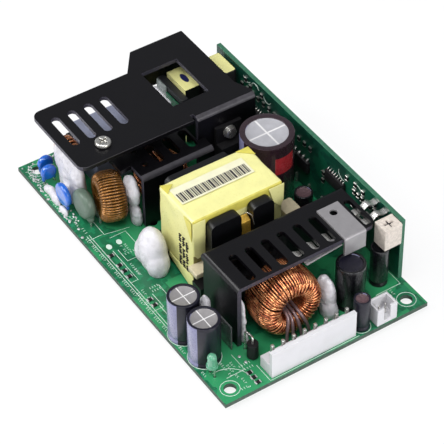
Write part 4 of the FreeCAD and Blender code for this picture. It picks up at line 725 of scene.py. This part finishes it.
def lumpy(piece, size, strength, levels=0):
    """Uneven surface from a cloud pattern."""
    if levels:
        subdivide(piece, levels)
    cloud = bpy.data.textures.new("lumps", "CLOUDS")
    cloud.noise_scale = size * MM
    cloud.noise_depth = 1
    modify(piece, "DISPLACE", texture=cloud, texture_coords="LOCAL", strength=strength * MM, mid_level=0.5)


def flap(name, corners, thick, finish_list):
    """A thin piece of tape or sheet: a flat disc whose corners are pulled to their places."""
    calm()
    bpy.ops.mesh.primitive_circle_add(vertices=len(corners), radius=MM, fill_type="NGON")
    piece = settle(name)
    for index, corner in enumerate(corners):
        start = piece.data.vertices[index].co / MM
        shift(piece, lambda part: part.index == index, Vector(corner) - start)
    modify(piece, "SOLIDIFY", thickness=thick * MM, offset=0.0)
    choose(piece, everything)
    bpy.ops.mesh.normals_make_consistent(inside=False)
    calm()
    soften(piece, min(0.08, thick * 0.4), 2)
    return dress(piece, finish_list)


def transformer():
    low, high = box_of("transformer_winding")
    tape = block("transformer_tape", low, high)
    for value in (0.2, 0.4, 0.6, 0.8):
        cut(tape, (0, low.y + (high.y - low.y) * value, 0), (0, 1, 0))
        cut(tape, (0, 0, low.z + (high.z - low.z) * value), (0, 0, 1))
    for value in (0.25, 0.5, 0.75):
        cut(tape, (low.x + (high.x - low.x) * value, 0, 0), (1, 0, 0))
    soften(tape, 0.9, 3, 60)
    choose(tape, everything)
    bpy.ops.mesh.subdivide(number_cuts=2)
    calm()
    lumpy(tape, 7.0, 0.5)
    resize(tape, everything, (0.985, 0.99, 0.992), (*middle_of(low, high), low.z))
    dress(tape, [TAPE, TAPE_FOLD_AND_SHADE, TAPE_SHADE], ("transformer_winding",), 60)
    # Painted shade, partly a real fold: the upper band of the +X face is darker tape.
    paint(tape, 1, lambda place, normal: normal.x > 0.5 and place.z > 28)
    # Painted shade: the lower ±X faces dark olive, where the winding lies in shadow.
    paint(tape, 2, lambda place, normal: abs(normal.x) > 0.5 and place.z < 17)
    tape_folds(low, high)

    rounded_copy("transformer_core", [FERRITE], 0.2)
    bobbin = rounded_copy("transformer_bobbin", [BOBBIN, TIN], 0.2)
    paint_below(bobbin, 1, DECK - 0.05)
    flange = block("bobbin_flange", (16.6, -21.2, 12.0), (21.6, -15.6, 14.0))
    soften(flange, 0.3, 3)
    dress(flange, [CREAM_CASE])
    foil = block("core_foil", (17.5, -3.2, 16.0), (20.4, 0.5, 26.6))
    shift(foil, lambda part: spot(part).z > 26 and spot(part).x > 20, (-0.5, 0, -1.4))
    soften(foil, 0.3)
    lumpy(foil, 1.5, 0.2, 1)
    dress(foil, [FOIL])
    path = bent([(18.6, -1.4, 27.6), (19.2, -0.8, 28.6), (20.6, 0.4, 28.0), (21.1, 0.9, 24.0)])
    dress(wires("core_wire", [path], 0.16), [TIN])
    label()


def tape_folds(low, high):
    """Overlapping flaps, tails and corner folds of the outer tape; the folds are darker tape, partly painted shade.
    """
    x1, y0, z1 = high.x, low.y, high.z
    flaps = {
        "tape_left_flap": [(x1 + 0.25, y0 - 0.1, z1 - 0.8), (x1 + 0.25, -14.9, z1 - 0.8), (x1 + 0.45, -15.1, 24.0),
                           (x1 + 0.9, -15.7, 17.4), (x1 + 0.9, -18.4, 17.0), (x1 + 0.35, y0 + 0.1, 18.2)],
        "tape_right_flap": [(x1 + 0.25, 8.9, z1 - 0.8), (x1 + 0.25, high.y + 0.1, z1 - 0.8),
                            (x1 + 0.4, high.y - 0.2, 25.0), (x1 + 0.9, 12.9, 23.2), (x1 + 0.7, 10.4, 26.0)],
        "tape_near_tail": [(3.0, y0 - 0.15, 8.5), (x1, y0 - 0.15, 8.5), (x1 + 0.1, y0 - 0.35, 5.2),
                           (15.6, y0 - 0.7, DECK + 0.35), (9.0, y0 - 0.4, 5.4), (3.0, y0 - 0.25, 7.0)],
    }
    for name, corners in flaps.items():
        flap(name, corners, 0.25, [TAPE])
    creases = {
        "tape_corner_fold": [(low.x + 0.6, y0 + 0.4, z1 + 0.08), (low.x + 5.2, y0 + 0.3, z1 + 0.08),
                             (low.x + 2.2, y0 + 4.2, z1 + 0.08)],
        "tape_near_crease": [(x1 - 5.0, y0 - 0.16, z1 - 1.0), (x1 - 0.6, y0 - 0.16, z1 - 1.0),
                             (x1 - 0.6, y0 - 0.16, z1 - 9.0)],
        "tape_far_fold": [(low.x + 5.2, high.y - 0.4, z1 + 0.08), (low.x + 0.8, high.y - 0.4, z1 + 0.08),
                          (low.x + 0.8, high.y - 5.2, z1 + 0.08)],
    }
    for name, corners in creases.items():
        # The creases are darker tape: a real fold, deepened with painted shade.
        flap(name, corners, 0.16, [TAPE_FOLD_AND_SHADE])


def label():
    """The paper label with a plain row of bars, and plain strokes on the near side of the tape."""
    low, high = box_of("transformer_label")
    rounded_copy("transformer_label", [PAPER], 0.04, 1)
    bars = []
    place, step = low.y + 0.5, 0
    widths = (0.5, 0.26, 0.66, 0.3, 0.36, 0.78, 0.28, 0.5, 0.32, 0.7, 0.28)
    gaps = (0.3, 0.22, 0.3, 0.42, 0.24, 0.28, 0.36, 0.26)
    while place < high.y - 1.0:
        width = widths[step % len(widths)]
        bars.append(block("bar", (low.x + 2.9, place, high.z - 0.02), (low.x + 7.1, place + width, high.z + 0.03)))
        place += width + gaps[step % len(gaps)]
        step += 1
    dress(join("label_bars", bars), [INK])
    bars = []
    for column, x in enumerate((9.0, 11.0, 13.0)):
        for i in range(16):
            foot = 8.2 + i * 0.86
            if (i + column) % 6 != 5:
                bars.append(block("bar", (x, -19.62, foot), (x + 1.2 - 0.3 * (i % 3), -19.3, foot + 0.34)))
    dress(join("side_marks", bars), [INK])


# Sheet metal

def painted_fold_highlight(piece, index, first, last):
    """Paints a highlight on the outside of a bend, between two places along x."""
    paint(piece, index, lambda place, normal: first < place.x < last and place.z > 20 and 0.2 < abs(normal.x) < 0.98
          and normal.z > 0.2)


def heatsinks():
    piece = rounded_copy("input_heatsink", [BLACK_SHEET, SHEARED, FOLD_HIGHLIGHT], 0.14)
    paint(piece, 1, lambda place, normal: (abs(normal.z) < 0.6 and place.x < -23.5 and place.z > SHEET_TOP - 1.7)
          or (abs(normal.y) > 0.6 and place.x > -24 and place.z > DECK))
    # Painted highlight along the outside of the bend.
    painted_fold_highlight(piece, 2, -24.4, -21.4)
    piece = rounded_copy("bracket_heatsink", [BLACK_SHEET, SHEARED, FOLD_HIGHLIGHT], 0.14)
    # Painted highlight along the outside of the bend.
    painted_fold_highlight(piece, 2, -17.6, -14.9)
    paint(piece, 1, lambda place, normal: abs(normal.y) > 0.7 and place.x > -16.6)
    piece = rounded_copy("output_heatsink", [BLACK_SHEET, SHEARED], 0.14)
    paint(piece, 1, lambda place, normal: abs(normal.x) > 0.7 and place.x > 45.7)
    rounded_copy("clip_plate", [CLIP_STEEL], 0.1)
    straps()
    clips()
    rounded_copy("heatsink_nuts", [STEEL], 0.25)
    screws()


def clips():
    """The plate's lower leaf, and the spring fingers seen through the output heatsink's slots."""
    flap("inner_clip", [(42.2, 3.6, 24.9), (45.9, 3.6, 24.9), (45.9, 17.0, 26.4), (42.2, 17.0, 26.4)], 0.5,
         [CLIP_STEEL])
    level = 26.0
    fingers = ((39.4, 42.2, 2.2, 4.4), (38.4, 42.4, 8.2, 10.0), (37.8, 42.6, 13.8, 15.8), (36.4, 41.6, 26.7, 28.8))
    for number, (x0, x1, y0, y1) in enumerate(fingers, 1):
        flap(f"clip_finger_{number}", [(x0, y0, level), (x1, y0, level), (x1, y1, level), (x0 + 0.9, y1, level)], 0.4,
             [TIN])


def straps():
    """Two bright strips bent like an S, each extruded from its edge on the heatsink to the card."""
    low, high = box_of("heatsink_straps")
    wide, foot, top = 2.4, 26.4, 27.0
    steps = ((1.5, 0.0), (0.9, 0.25), (0.9, 0.55), (0.9, 0.5), (0.9, -0.1), (0.9, -0.5), (0.9, -0.3), (0.9, 0.15),
             (0.6, 0.2))
    for number, x in enumerate((low.x, high.x - wide)):
        piece = block("strap", (x, low.y, foot), (x + wide, low.y + 1.2, top))
        for step, rise in steps:
            choose(piece, lambda part: part.normal.y > 0.6)
            bpy.ops.mesh.extrude_region_move(TRANSFORM_OT_translate={"value": (0, step * MM, rise * MM)})
            calm()
        reach = max(vert.co.y for vert in piece.data.vertices) / MM
        resize(piece, everything, (1, (high.y - low.y) / (reach - low.y), 1), (x, low.y, (foot + top) / 2))
        soften(piece, 0.1, 2, 50)
        dress(piece, [TIN], ("heatsink_straps",) if number == 0 else ())
        piece.name = f"strap_{number + 1}"


def pan_head(name, centre, turn):
    """A domed head with a cross recess on a threaded shaft, modelled along +Z and then turned."""
    head = drum("head", (0, 0, 0.85), 2.7, 1.7, sides=40)
    soften(head, 0.75, 4, 60)
    for x, y in ((1.6, 0.3), (0.3, 1.6)):
        tool = block("tool", (-x, -y, 0.7), (x, y, 3.0))
        modify(head, "BOOLEAN", operation="DIFFERENCE", object=tool)
        bpy.data.objects.remove(tool)
    soften(head, 0.08, 1, 50)
    shaft = drum("shaft", (0, 0, -2.4), 1.5, 5.0, sides=32)
    levels = [-0.4 - i * 0.55 for i in range(8)]
    for level in levels:
        cut(shaft, (0, 0, level), (0, 0, 1))
    for level in levels[::2]:
        resize(shaft, lambda part: abs(spot(part).z - level) < 0.02, (0.86, 0.86, 1), (0, 0, level))
    screw = join(name, [head, shaft])
    screw.rotation_euler = turn
    screw.location = [value * MM for value in centre]
    activate(screw)
    return settle(name)


def screws():
    """The screw on the plate, and the end of the one through the wall: stacked rings on a shaft."""
    high = box_of("heatsink_screws")[1]
    plate = pan_head("plate_screw", (-28.1, -24.2, high.z - 1.7), (0, 0, math.radians(20)))
    dress(plate, [STEEL], ("heatsink_screws",))
    y, z, lying = 18.8, DECK + 20.2, (0, math.radians(90), 0)
    rings = []
    for i in range(4):
        ring = drum("ring", (high.x - 2.2 + i * 0.66, y, z), 2.6 - 0.2 * i, 0.36, lying, 32)
        soften(ring, 0.12)
        rings.append(ring)
    rings.append(drum("shaft", (high.x - 3.0, y, z), 1.3, 6.0, lying, 32))
    dress(join("wall_screw", rings), [TIN])


# Power packages and boxed parts

def packages():
    for node in ("pfc_transistor", "switch_transistor", "output_rectifier_1", "output_rectifier_2"):
        piece = rounded_copy(node, [MOULDING, TIN], 0.18)
        paint_below(piece, 1, box_of(node)[1].z - PACKAGE_BODY - 0.05)
    for node, slot, case, foot in (("bridge_rectifier", "black_moulding", MOULDING, DECK + 3.0),
                                   ("film_capacitor", "grey_case", GREY_CASE, DECK),
                                   ("cream_capacitor", "cream_case", CREAM_CASE, DECK),
                                   ("line_fuse", "black_moulding", MOULDING, DECK),
                                   ("optocouplers", "black_moulding", MOULDING, DECK + 0.5)):
        piece = rounded_copy(node, [case, TIN], 0.25, 3)
        paint_below(piece, 1, foot - 0.05)
    piece = rounded_copy("card_inductor", [TAPE, MOULDING, TIN], 0.3, 3)
    paint(piece, 1, lambda place, normal: place.x > -42.0 or place.z < 24.0)
    paint_below(piece, 2, DECK - 0.05)


def small_transformer():
    """The taped transformer in the input heatsink's window."""
    rounded_copy("auxiliary_transformer_core", [GREY_CORE], 0.3, 3)
    piece = rounded_copy("auxiliary_transformer_winding", [TAPE, TIN, BOBBIN], 0.5, 3)
    paint_below(piece, 1, DECK + 0.95)
    paint(piece, 2, lambda place, normal: normal.x > 0.5 and place.z < 24)


def window_pieces():
    """A pale plate, a green one and a white seal under the window, and the mark drawn on the tape."""
    flap("inlet_shield", [(-54.6, 12.5, 25.4), (-49.0, 12.5, 25.4), (-47.4, 12.5, 12.0), (-54.6, 12.5, 12.0)], 0.5,
         [PALE_PLATE])
    flap("inlet_card", [(-48.8, 12.4, 23.4), (-39.6, 12.4, 23.4), (-39.6, 12.4, 12.0), (-47.2, 12.4, 12.0)], 0.5,
         [GREEN_PLATE])
    seal = join("inlet_seal", [ball("lobe", (-54.4 + i * 1.9, 12.0 - 0.2 * (i % 2), 20.9), (1.6, 0.75, 0.7), 16, 10)
                               for i in range(5)])
    melt(seal, 0.2, 0.6, 6)
    dress(seal, [SILICONE], angle=70)
    low, high = box_of("auxiliary_transformer_winding")
    x, y = middle_of(low, high)
    mark = drum("tape_mark", (x, y, high.z + 0.02), 1.0, 0.06, sides=32)
    resize(mark, everything, (2.4, 1.05, 1), (x, y, high.z))
    dress(mark, [BLUE_INK])


def trimmer():
    piece = rounded_copy("voltage_trimmer", [BEIGE_CASE, INK], 0.25, 3)
    slot_floor = box_of("voltage_trimmer")[1].z - 0.5
    paint(piece, 1, lambda place, normal: place.z < slot_floor and normal.z > 0.9)


def headers():
    for header in ("output_header", "fan_header", "ac_inlet"):
        rounded_copy(f"{header}_housing", [NYLON], 0.22, 3)
    for header in ("output_header", "fan_header", "ac_inlet"):
        rounded_copy(f"{header}_pins", [TIN], 0.25)


# Discs, light and diode

def dipped_disc(node, name, axis, coat, pitch):
    """A disc dipped in lacquer that runs a little way down its two leads."""
    low, high = box_of(node)
    x, y = middle_of(low, high)
    reach = high - low
    radius, half = (reach.y / 2, reach.x / 2) if axis == "x" else (reach.x / 2, reach.y / 2)
    middle = high.z - radius
    turn = (0, math.radians(90), 0) if axis == "x" else (math.radians(90), 0, 0)
    disc = drum("disc", (x, y, middle), radius, half * 2, turn, 48)
    soften(disc, half * 0.8, 4, 60)
    parts, tops = [disc], []
    for away in (-pitch / 2, pitch / 2):
        fall = middle - math.sqrt(max(radius ** 2 - away ** 2, 0.1))
        tops.append((x, y + away, fall) if axis == "x" else (x + away, y, fall))
        parts.append(ball("run", tops[-1], (half * 0.62, half * 0.62, 1.7), 20, 12))
    piece = join(name, parts)
    melt(piece, 0.22, 0.6, 8)
    dress(piece, [coat], (node,), 60)
    straight_leads(f"{name}_leads", tops, 0.3)


def discs():
    for node, name, axis, slot, coat, pitch in (
            ("line_capacitor_1", "blue_disc_1", "x", "blue_dip", BLUE_DIP, 4.0),
            ("line_capacitor_2", "blue_disc_2", "x", "blue_dip", BLUE_DIP, 4.0),
            ("line_capacitor_3", "blue_disc_3", "y", "blue_dip", BLUE_DIP, 5.0),
            ("varistor", "green_disc", "y", "green_dip", GREEN_DIP, 7.5),
            ("inrush_thermistor", "dark_disc", "y", "dark_dip", DARK_DIP, 7.5)):
        dipped_disc(node, name, axis, coat, pitch)


def light_and_diode():
    piece = rounded_copy("status_light", [LENS, TIN])
    paint_below(piece, 1, DECK + 3.35)
    low, high = box_of("output_diode")
    radius = (high.y - low.y) / 2
    x, y = high.x - radius, (low.y + high.y) / 2
    body = drum("diode_moulding", (x, y, DECK + 3.3), radius, 5.6, sides=40)
    choose(body, lambda part: part.normal.z > 0.9)
    bpy.ops.mesh.inset(thickness=0.5 * MM)
    bpy.ops.mesh.extrude_region_move(TRANSFORM_OT_translate={"value": (0, 0, -0.12 * MM)})
    calm()
    soften(body, 0.25, 3)
    dress(body, [MOULDING], ("output_diode",))
    top = DECK + 6.1
    foot = low.x + 0.4
    loop = bent([(x, y, top - 0.3), (x, y, top + 1.9), (x - 1.0, y + 0.3, top + 1.9), (foot, y, top + 1.8),
                 (foot, y, DECK + 2), (foot, y, 0)], 8)
    dress(wires("diode_wire", [loop, [(x, y, 0), (x, y, DECK + 0.6)]], 0.38), [TIN], angle=60)


# Control card and small parts

def chip(name, x, z, legs, wire=0.14):
    """A chip on the card's inner face, with a row of bent legs on each long side."""
    length, width, thick = 9.6, 6.4, 1.5
    body = block("chip", (x - length / 2, CARD_FACE - thick, z - width / 2 + 0.9),
                 (x + length / 2, CARD_FACE - 0.15, z + width / 2 - 0.9))
    soften(body, 0.14)
    pins = []
    for i in range(legs):
        u = x - length / 2 + (i + 0.5) * length / legs
        for side in (-1, 1):
            root = z + side * (width / 2 - 0.95)
            tip = z + side * (width / 2)
            pins.append(bent([(u, CARD_FACE - thick * 0.55, root), (u, CARD_FACE - thick * 0.5, root + side * 0.45),
                              (u, CARD_FACE - 0.14, tip - side * 0.3), (u, CARD_FACE - 0.12, tip)], 2))
    dress(body, [MOULDING]).name = name
    dress(wires(f"{name}_legs", pins, wire, 1), [TIN])


def small_parts(board_name, bodies, ends, node, end_finish):
    """Bodies and bright ends of the small parts on one board."""
    dress(join(f"{board_name}_small_parts", bodies), [MOULDING], (node,))
    ends = join(f"{board_name}_small_ends", ends)
    soften(ends, 0.06, 1)
    dress(ends, [end_finish])


def card():
    piece = rounded_copy("control_card", [CARD_MASK, CARD_EDGE], 0.08, 1)
    paint(piece, 1, lambda place, normal: normal.z > 0.5 or abs(normal.x) > 0.6)
    chip("card_chip_one", -3.4, DECK + 11.0, 4, 0.34)
    chip("card_chip_two", 16.0, DECK + 16.4, 8)
    chip("card_chip_three", -29.0, DECK + 12.0, 8)
    places = [(-18.0 + i * 3.2, 19.2) for i in range(7)]
    places += [(-29.0 + (i - 3) * 3.2, 19.2) for i in range(7)]
    places += [(16.0 + 9.6 + i * 3.2 / 1.5, 19.2) for i in range(7)]
    places += [(-36.5, 22.6), (-33.6, 21.2), (-27.0, 22.0), (21.5, 22.0), (26.0, 22.4), (30.2, 22.2), (9.0, 14.6),
               (8.8, 11.2), (24.8, 13.2), (28.4, 10.2), (33.0, 15.0), (36.2, 21.8)]
    bodies, ends = [], []
    near = CARD_FACE - 0.55
    for x, z in places:
        left, right, foot, top = x - 0.62, x + 0.62, DECK + z - 1.0, DECK + z + 1.0
        bodies.append(block("part", (left, near + 0.03, foot + 0.4), (right, CARD_FACE, top - 0.4)))
        ends.append(block("end", (left, near, foot), (right, CARD_FACE, foot + 0.42)))
        ends.append(block("end", (left, near, top - 0.42), (right, CARD_FACE, top)))
    small_parts("card", bodies, ends, "control_card_parts", TIN)
    arcs = []
    for x, z, start in ((-36, 24, 200), (-31, 22, 20), (-24, 23, 200), (19.0, 21.5, 160), (27.0, 20.6, 10)):
        angles = [math.radians(start + i * 7) for i in range(20)]
        arcs.append([(x + 2.2 * math.cos(angle), CARD_FACE, DECK + min(z + 2.2 * math.sin(angle), 25.2))
                     for angle in angles])
    dress(wires("card_print", arcs, 0.12, 1), [SILK])


def surface_parts():
    bodies, ends = [], []
    spots = [(x, -33.9) for x in (-9.8, -4.6, -1.6, 1.4, 13.8, 16.6)] + [(59.2 + i * 2.3, -25.0) for i in (-1, 0, 1)]
    for x, y in spots:
        bodies.append(block("part", (x - 0.6, y - 0.62, DECK), (x + 0.6, y + 0.62, DECK + 0.52)))
        ends.append(block("end", (x - 0.62, y - 1.0, DECK), (x + 0.62, y - 0.6, DECK + 0.55)))
        ends.append(block("end", (x - 0.62, y + 0.6, DECK), (x + 0.62, y + 1.0, DECK + 0.55)))
    small_parts("board", bodies, ends, "board_surface_parts", SOLDER)


# Silicone

def silicone():
    """Each bead is a few lobes melted into one, flat on the board."""
    beads = {
        "bead_transformer": [((1.0, -24.7, 6.6), (6.0, 4.5, 9.2)), ((-2.6, -24.4, 4.0), (4.2, 4.4, 5.6)),
                             ((4.4, -24.9, 3.4), (4.0, 4.0, 6.0))],
        "bead_bracket": [((-20.0, -19.3, 13.4), (4.4, 1.9, 6.2)), ((-18.6, -18.9, 3.6), (3.2, 1.6, 5.2))],
        "bead_input": [((-43.4, -29.4, 6.0), (6.2, 2.0, 11.4)), ((-49.6, -29.0, 11.4), (3.0, 1.6, 6.4)),
                       ((-37.4, -29.5, 8.0), (4.4, 2.3, 9.0)), ((-40.6, -31.2, 2.4), (4.2, 1.8, 4.0))],
        "bead_input_foot": [((-46.2, -35.1, 0.8), (2.6, 1.4, 2.4)), ((-47.9, -35.6, 0.6), (1.8, 1.1, 1.7)),
                            ((-42.6, -35.6, 0.8), (3.4, 1.3, 2.6)), ((-36.4, -36.1, 0.3), (2.6, 0.9, 1.5))],
        "bead_film": [((-48.4, -21.4, 16.6), (4.6, 1.9, 1.5)), ((-44.4, -21.0, 16.8), (2.6, 1.6, 1.2))],
        "bead_output": [((48.2, 10.0, 6.4), (3.5, 2.6, 7.4)), ((49.8, 9.6, 1.8), (3.4, 2.8, 4.2)),
                        ((46.6, 9.8, 9.6), (2.4, 2.2, 4.4))],
        "bead_output_wall": [((42.4, -18.75, 8.0), (3.1, 1.2, 9.2)), ((44.2, -18.7, 1.2), (2.6, 1.2, 3.0))],
        "bead_capacitor": [((31.6, -24.7, 5.4), (2.4, 2.1, 7.0))],
    }
    for name, lobes in beads.items():
        balls = [ball("lobe", (x, y, DECK + z), radii, 24, 16) for (x, y, z), radii in lobes]
        piece = join(name, balls)
        melt(piece, 0.32, 0.7, 10)
        lumpy(piece, 2.6, 0.3 if name == "bead_transformer" else 0.7)
        if name != "bead_film":
            cut(piece, (0, 0, DECK + 0.01), (0, 0, 1), clear_inner=True, use_fill=True)
        dress(piece, [SILICONE], ("silicone_beads",) if name == "bead_transformer" else (), 70)


# Studio

FLOOR_GLOW = 0.82
WORLD_LIGHT = 0.36
LAMP_AIM = Vector((0, 0, 0.015))
# Each lamp's place, size and power, in metres and watts
LAMPS = {
    "key": ((-0.35, -0.6, 0.55), 0.45, 5.6),
    "top": ((0.22, -0.28, 0.9), 0.5, 5.8),
    "side": ((0.8, 0.1, 0.35), 0.35, 4.0),
}


def show(tree, output, factor, first, second):
    """Ends a material or a world in a mix of two shaders."""
    mix = add_node(tree, "MixShader")
    for socket, value in zip(mix.inputs, (factor, first.outputs[0], second.outputs[0])):
        tree.links.new(value, socket)
    tree.links.new(mix.outputs[0], add_node(tree, output).inputs["Surface"])


def shade(tree, kind, colour, strength=None):
    node = add_node(tree, kind)
    node.inputs["Color"].default_value = (*colour, 1)
    if strength is not None:
        node.inputs["Strength"].default_value = strength
    return node


def floor():
    """A pale floor that takes the shadow and looks white to the camera."""
    calm()
    bpy.ops.mesh.primitive_plane_add(size=6.0)
    sheet = settle("studio_floor")
    material = bpy.data.materials.new("studio_floor")
    material.use_nodes = True
    tree = material.node_tree
    tree.nodes.clear()
    path = add_node(tree, "LightPath")
    seen = add_node(tree, "Math", operation="MAXIMUM")
    tree.links.new(path.outputs["Is Camera Ray"], seen.inputs[0])
    tree.links.new(path.outputs["Is Transmission Ray"], seen.inputs[1])
    part = add_node(tree, "Math", operation="MULTIPLY")
    part.inputs[1].default_value = FLOOR_GLOW
    tree.links.new(seen.outputs[0], part.inputs[0])
    show(tree, "OutputMaterial", part.outputs[0], shade(tree, "BsdfDiffuse", (0.86, 0.86, 0.87)),
         shade(tree, "Emission", (1, 1, 1)))
    sheet.data.materials.append(material)


def surroundings():
    world = bpy.data.worlds.new("studio")
    bpy.context.scene.world = world
    world.use_nodes = True
    tree = world.node_tree
    tree.nodes.clear()
    seen = add_node(tree, "LightPath").outputs["Is Camera Ray"]
    show(tree, "OutputWorld", seen, shade(tree, "Background", (0.92, 0.95, 1.0), WORLD_LIGHT),
         shade(tree, "Background", (1, 1, 1)))


def lamps():
    for name, (place, size, power) in LAMPS.items():
        data = bpy.data.lights.new(name, "AREA")
        data.shape = "SQUARE"
        data.size = size
        data.energy = power
        lamp = bpy.data.objects.new(name, data)
        bpy.context.scene.collection.objects.link(lamp)
        lamp.location = place
        lamp.rotation_euler = (LAMP_AIM - Vector(place)).to_track_quat("-Z", "Y").to_euler()


def camera():
    azimuth, elevation = math.radians(CAMERA_AZIMUTH), math.radians(CAMERA_ELEVATION)
    back = Vector((math.sin(azimuth) * math.cos(elevation), -math.cos(azimuth) * math.cos(elevation),
                   math.sin(elevation)))
    right = Vector((0, 0, 1)).cross(back).normalized()
    up = back.cross(right)
    roll = math.radians(CAMERA_ROLL)
    right, up = right * math.cos(roll) + up * math.sin(roll), up * math.cos(roll) - right * math.sin(roll)
    place = Vector((0, 0, CAMERA_AIM_HEIGHT)) + back * CAMERA_DISTANCE + right * CAMERA_RIGHT + up * CAMERA_UP
    data = bpy.data.cameras.new("camera")
    data.lens = CAMERA_LENS
    data.sensor_width = 36.0
    data.clip_start = 0.01
    data.clip_end = 20.0
    eye = bpy.data.objects.new("camera", data)
    bpy.context.scene.collection.objects.link(eye)
    turn = Matrix((right, up, back)).transposed().to_4x4()
    eye.matrix_world = Matrix.Translation(place * MM) @ turn
    bpy.context.scene.camera = eye


board()
capacitors()
output_inductor()
common_mode_choke()
small_rings()
transformer()
heatsinks()
packages()
small_transformer()
window_pieces()
trimmer()
headers()
discs()
light_and_diode()
card()
surface_parts()
silicone()
floor()
surroundings()
lamps()
camera()
bpy.context.scene.view_settings.view_transform = "Standard"
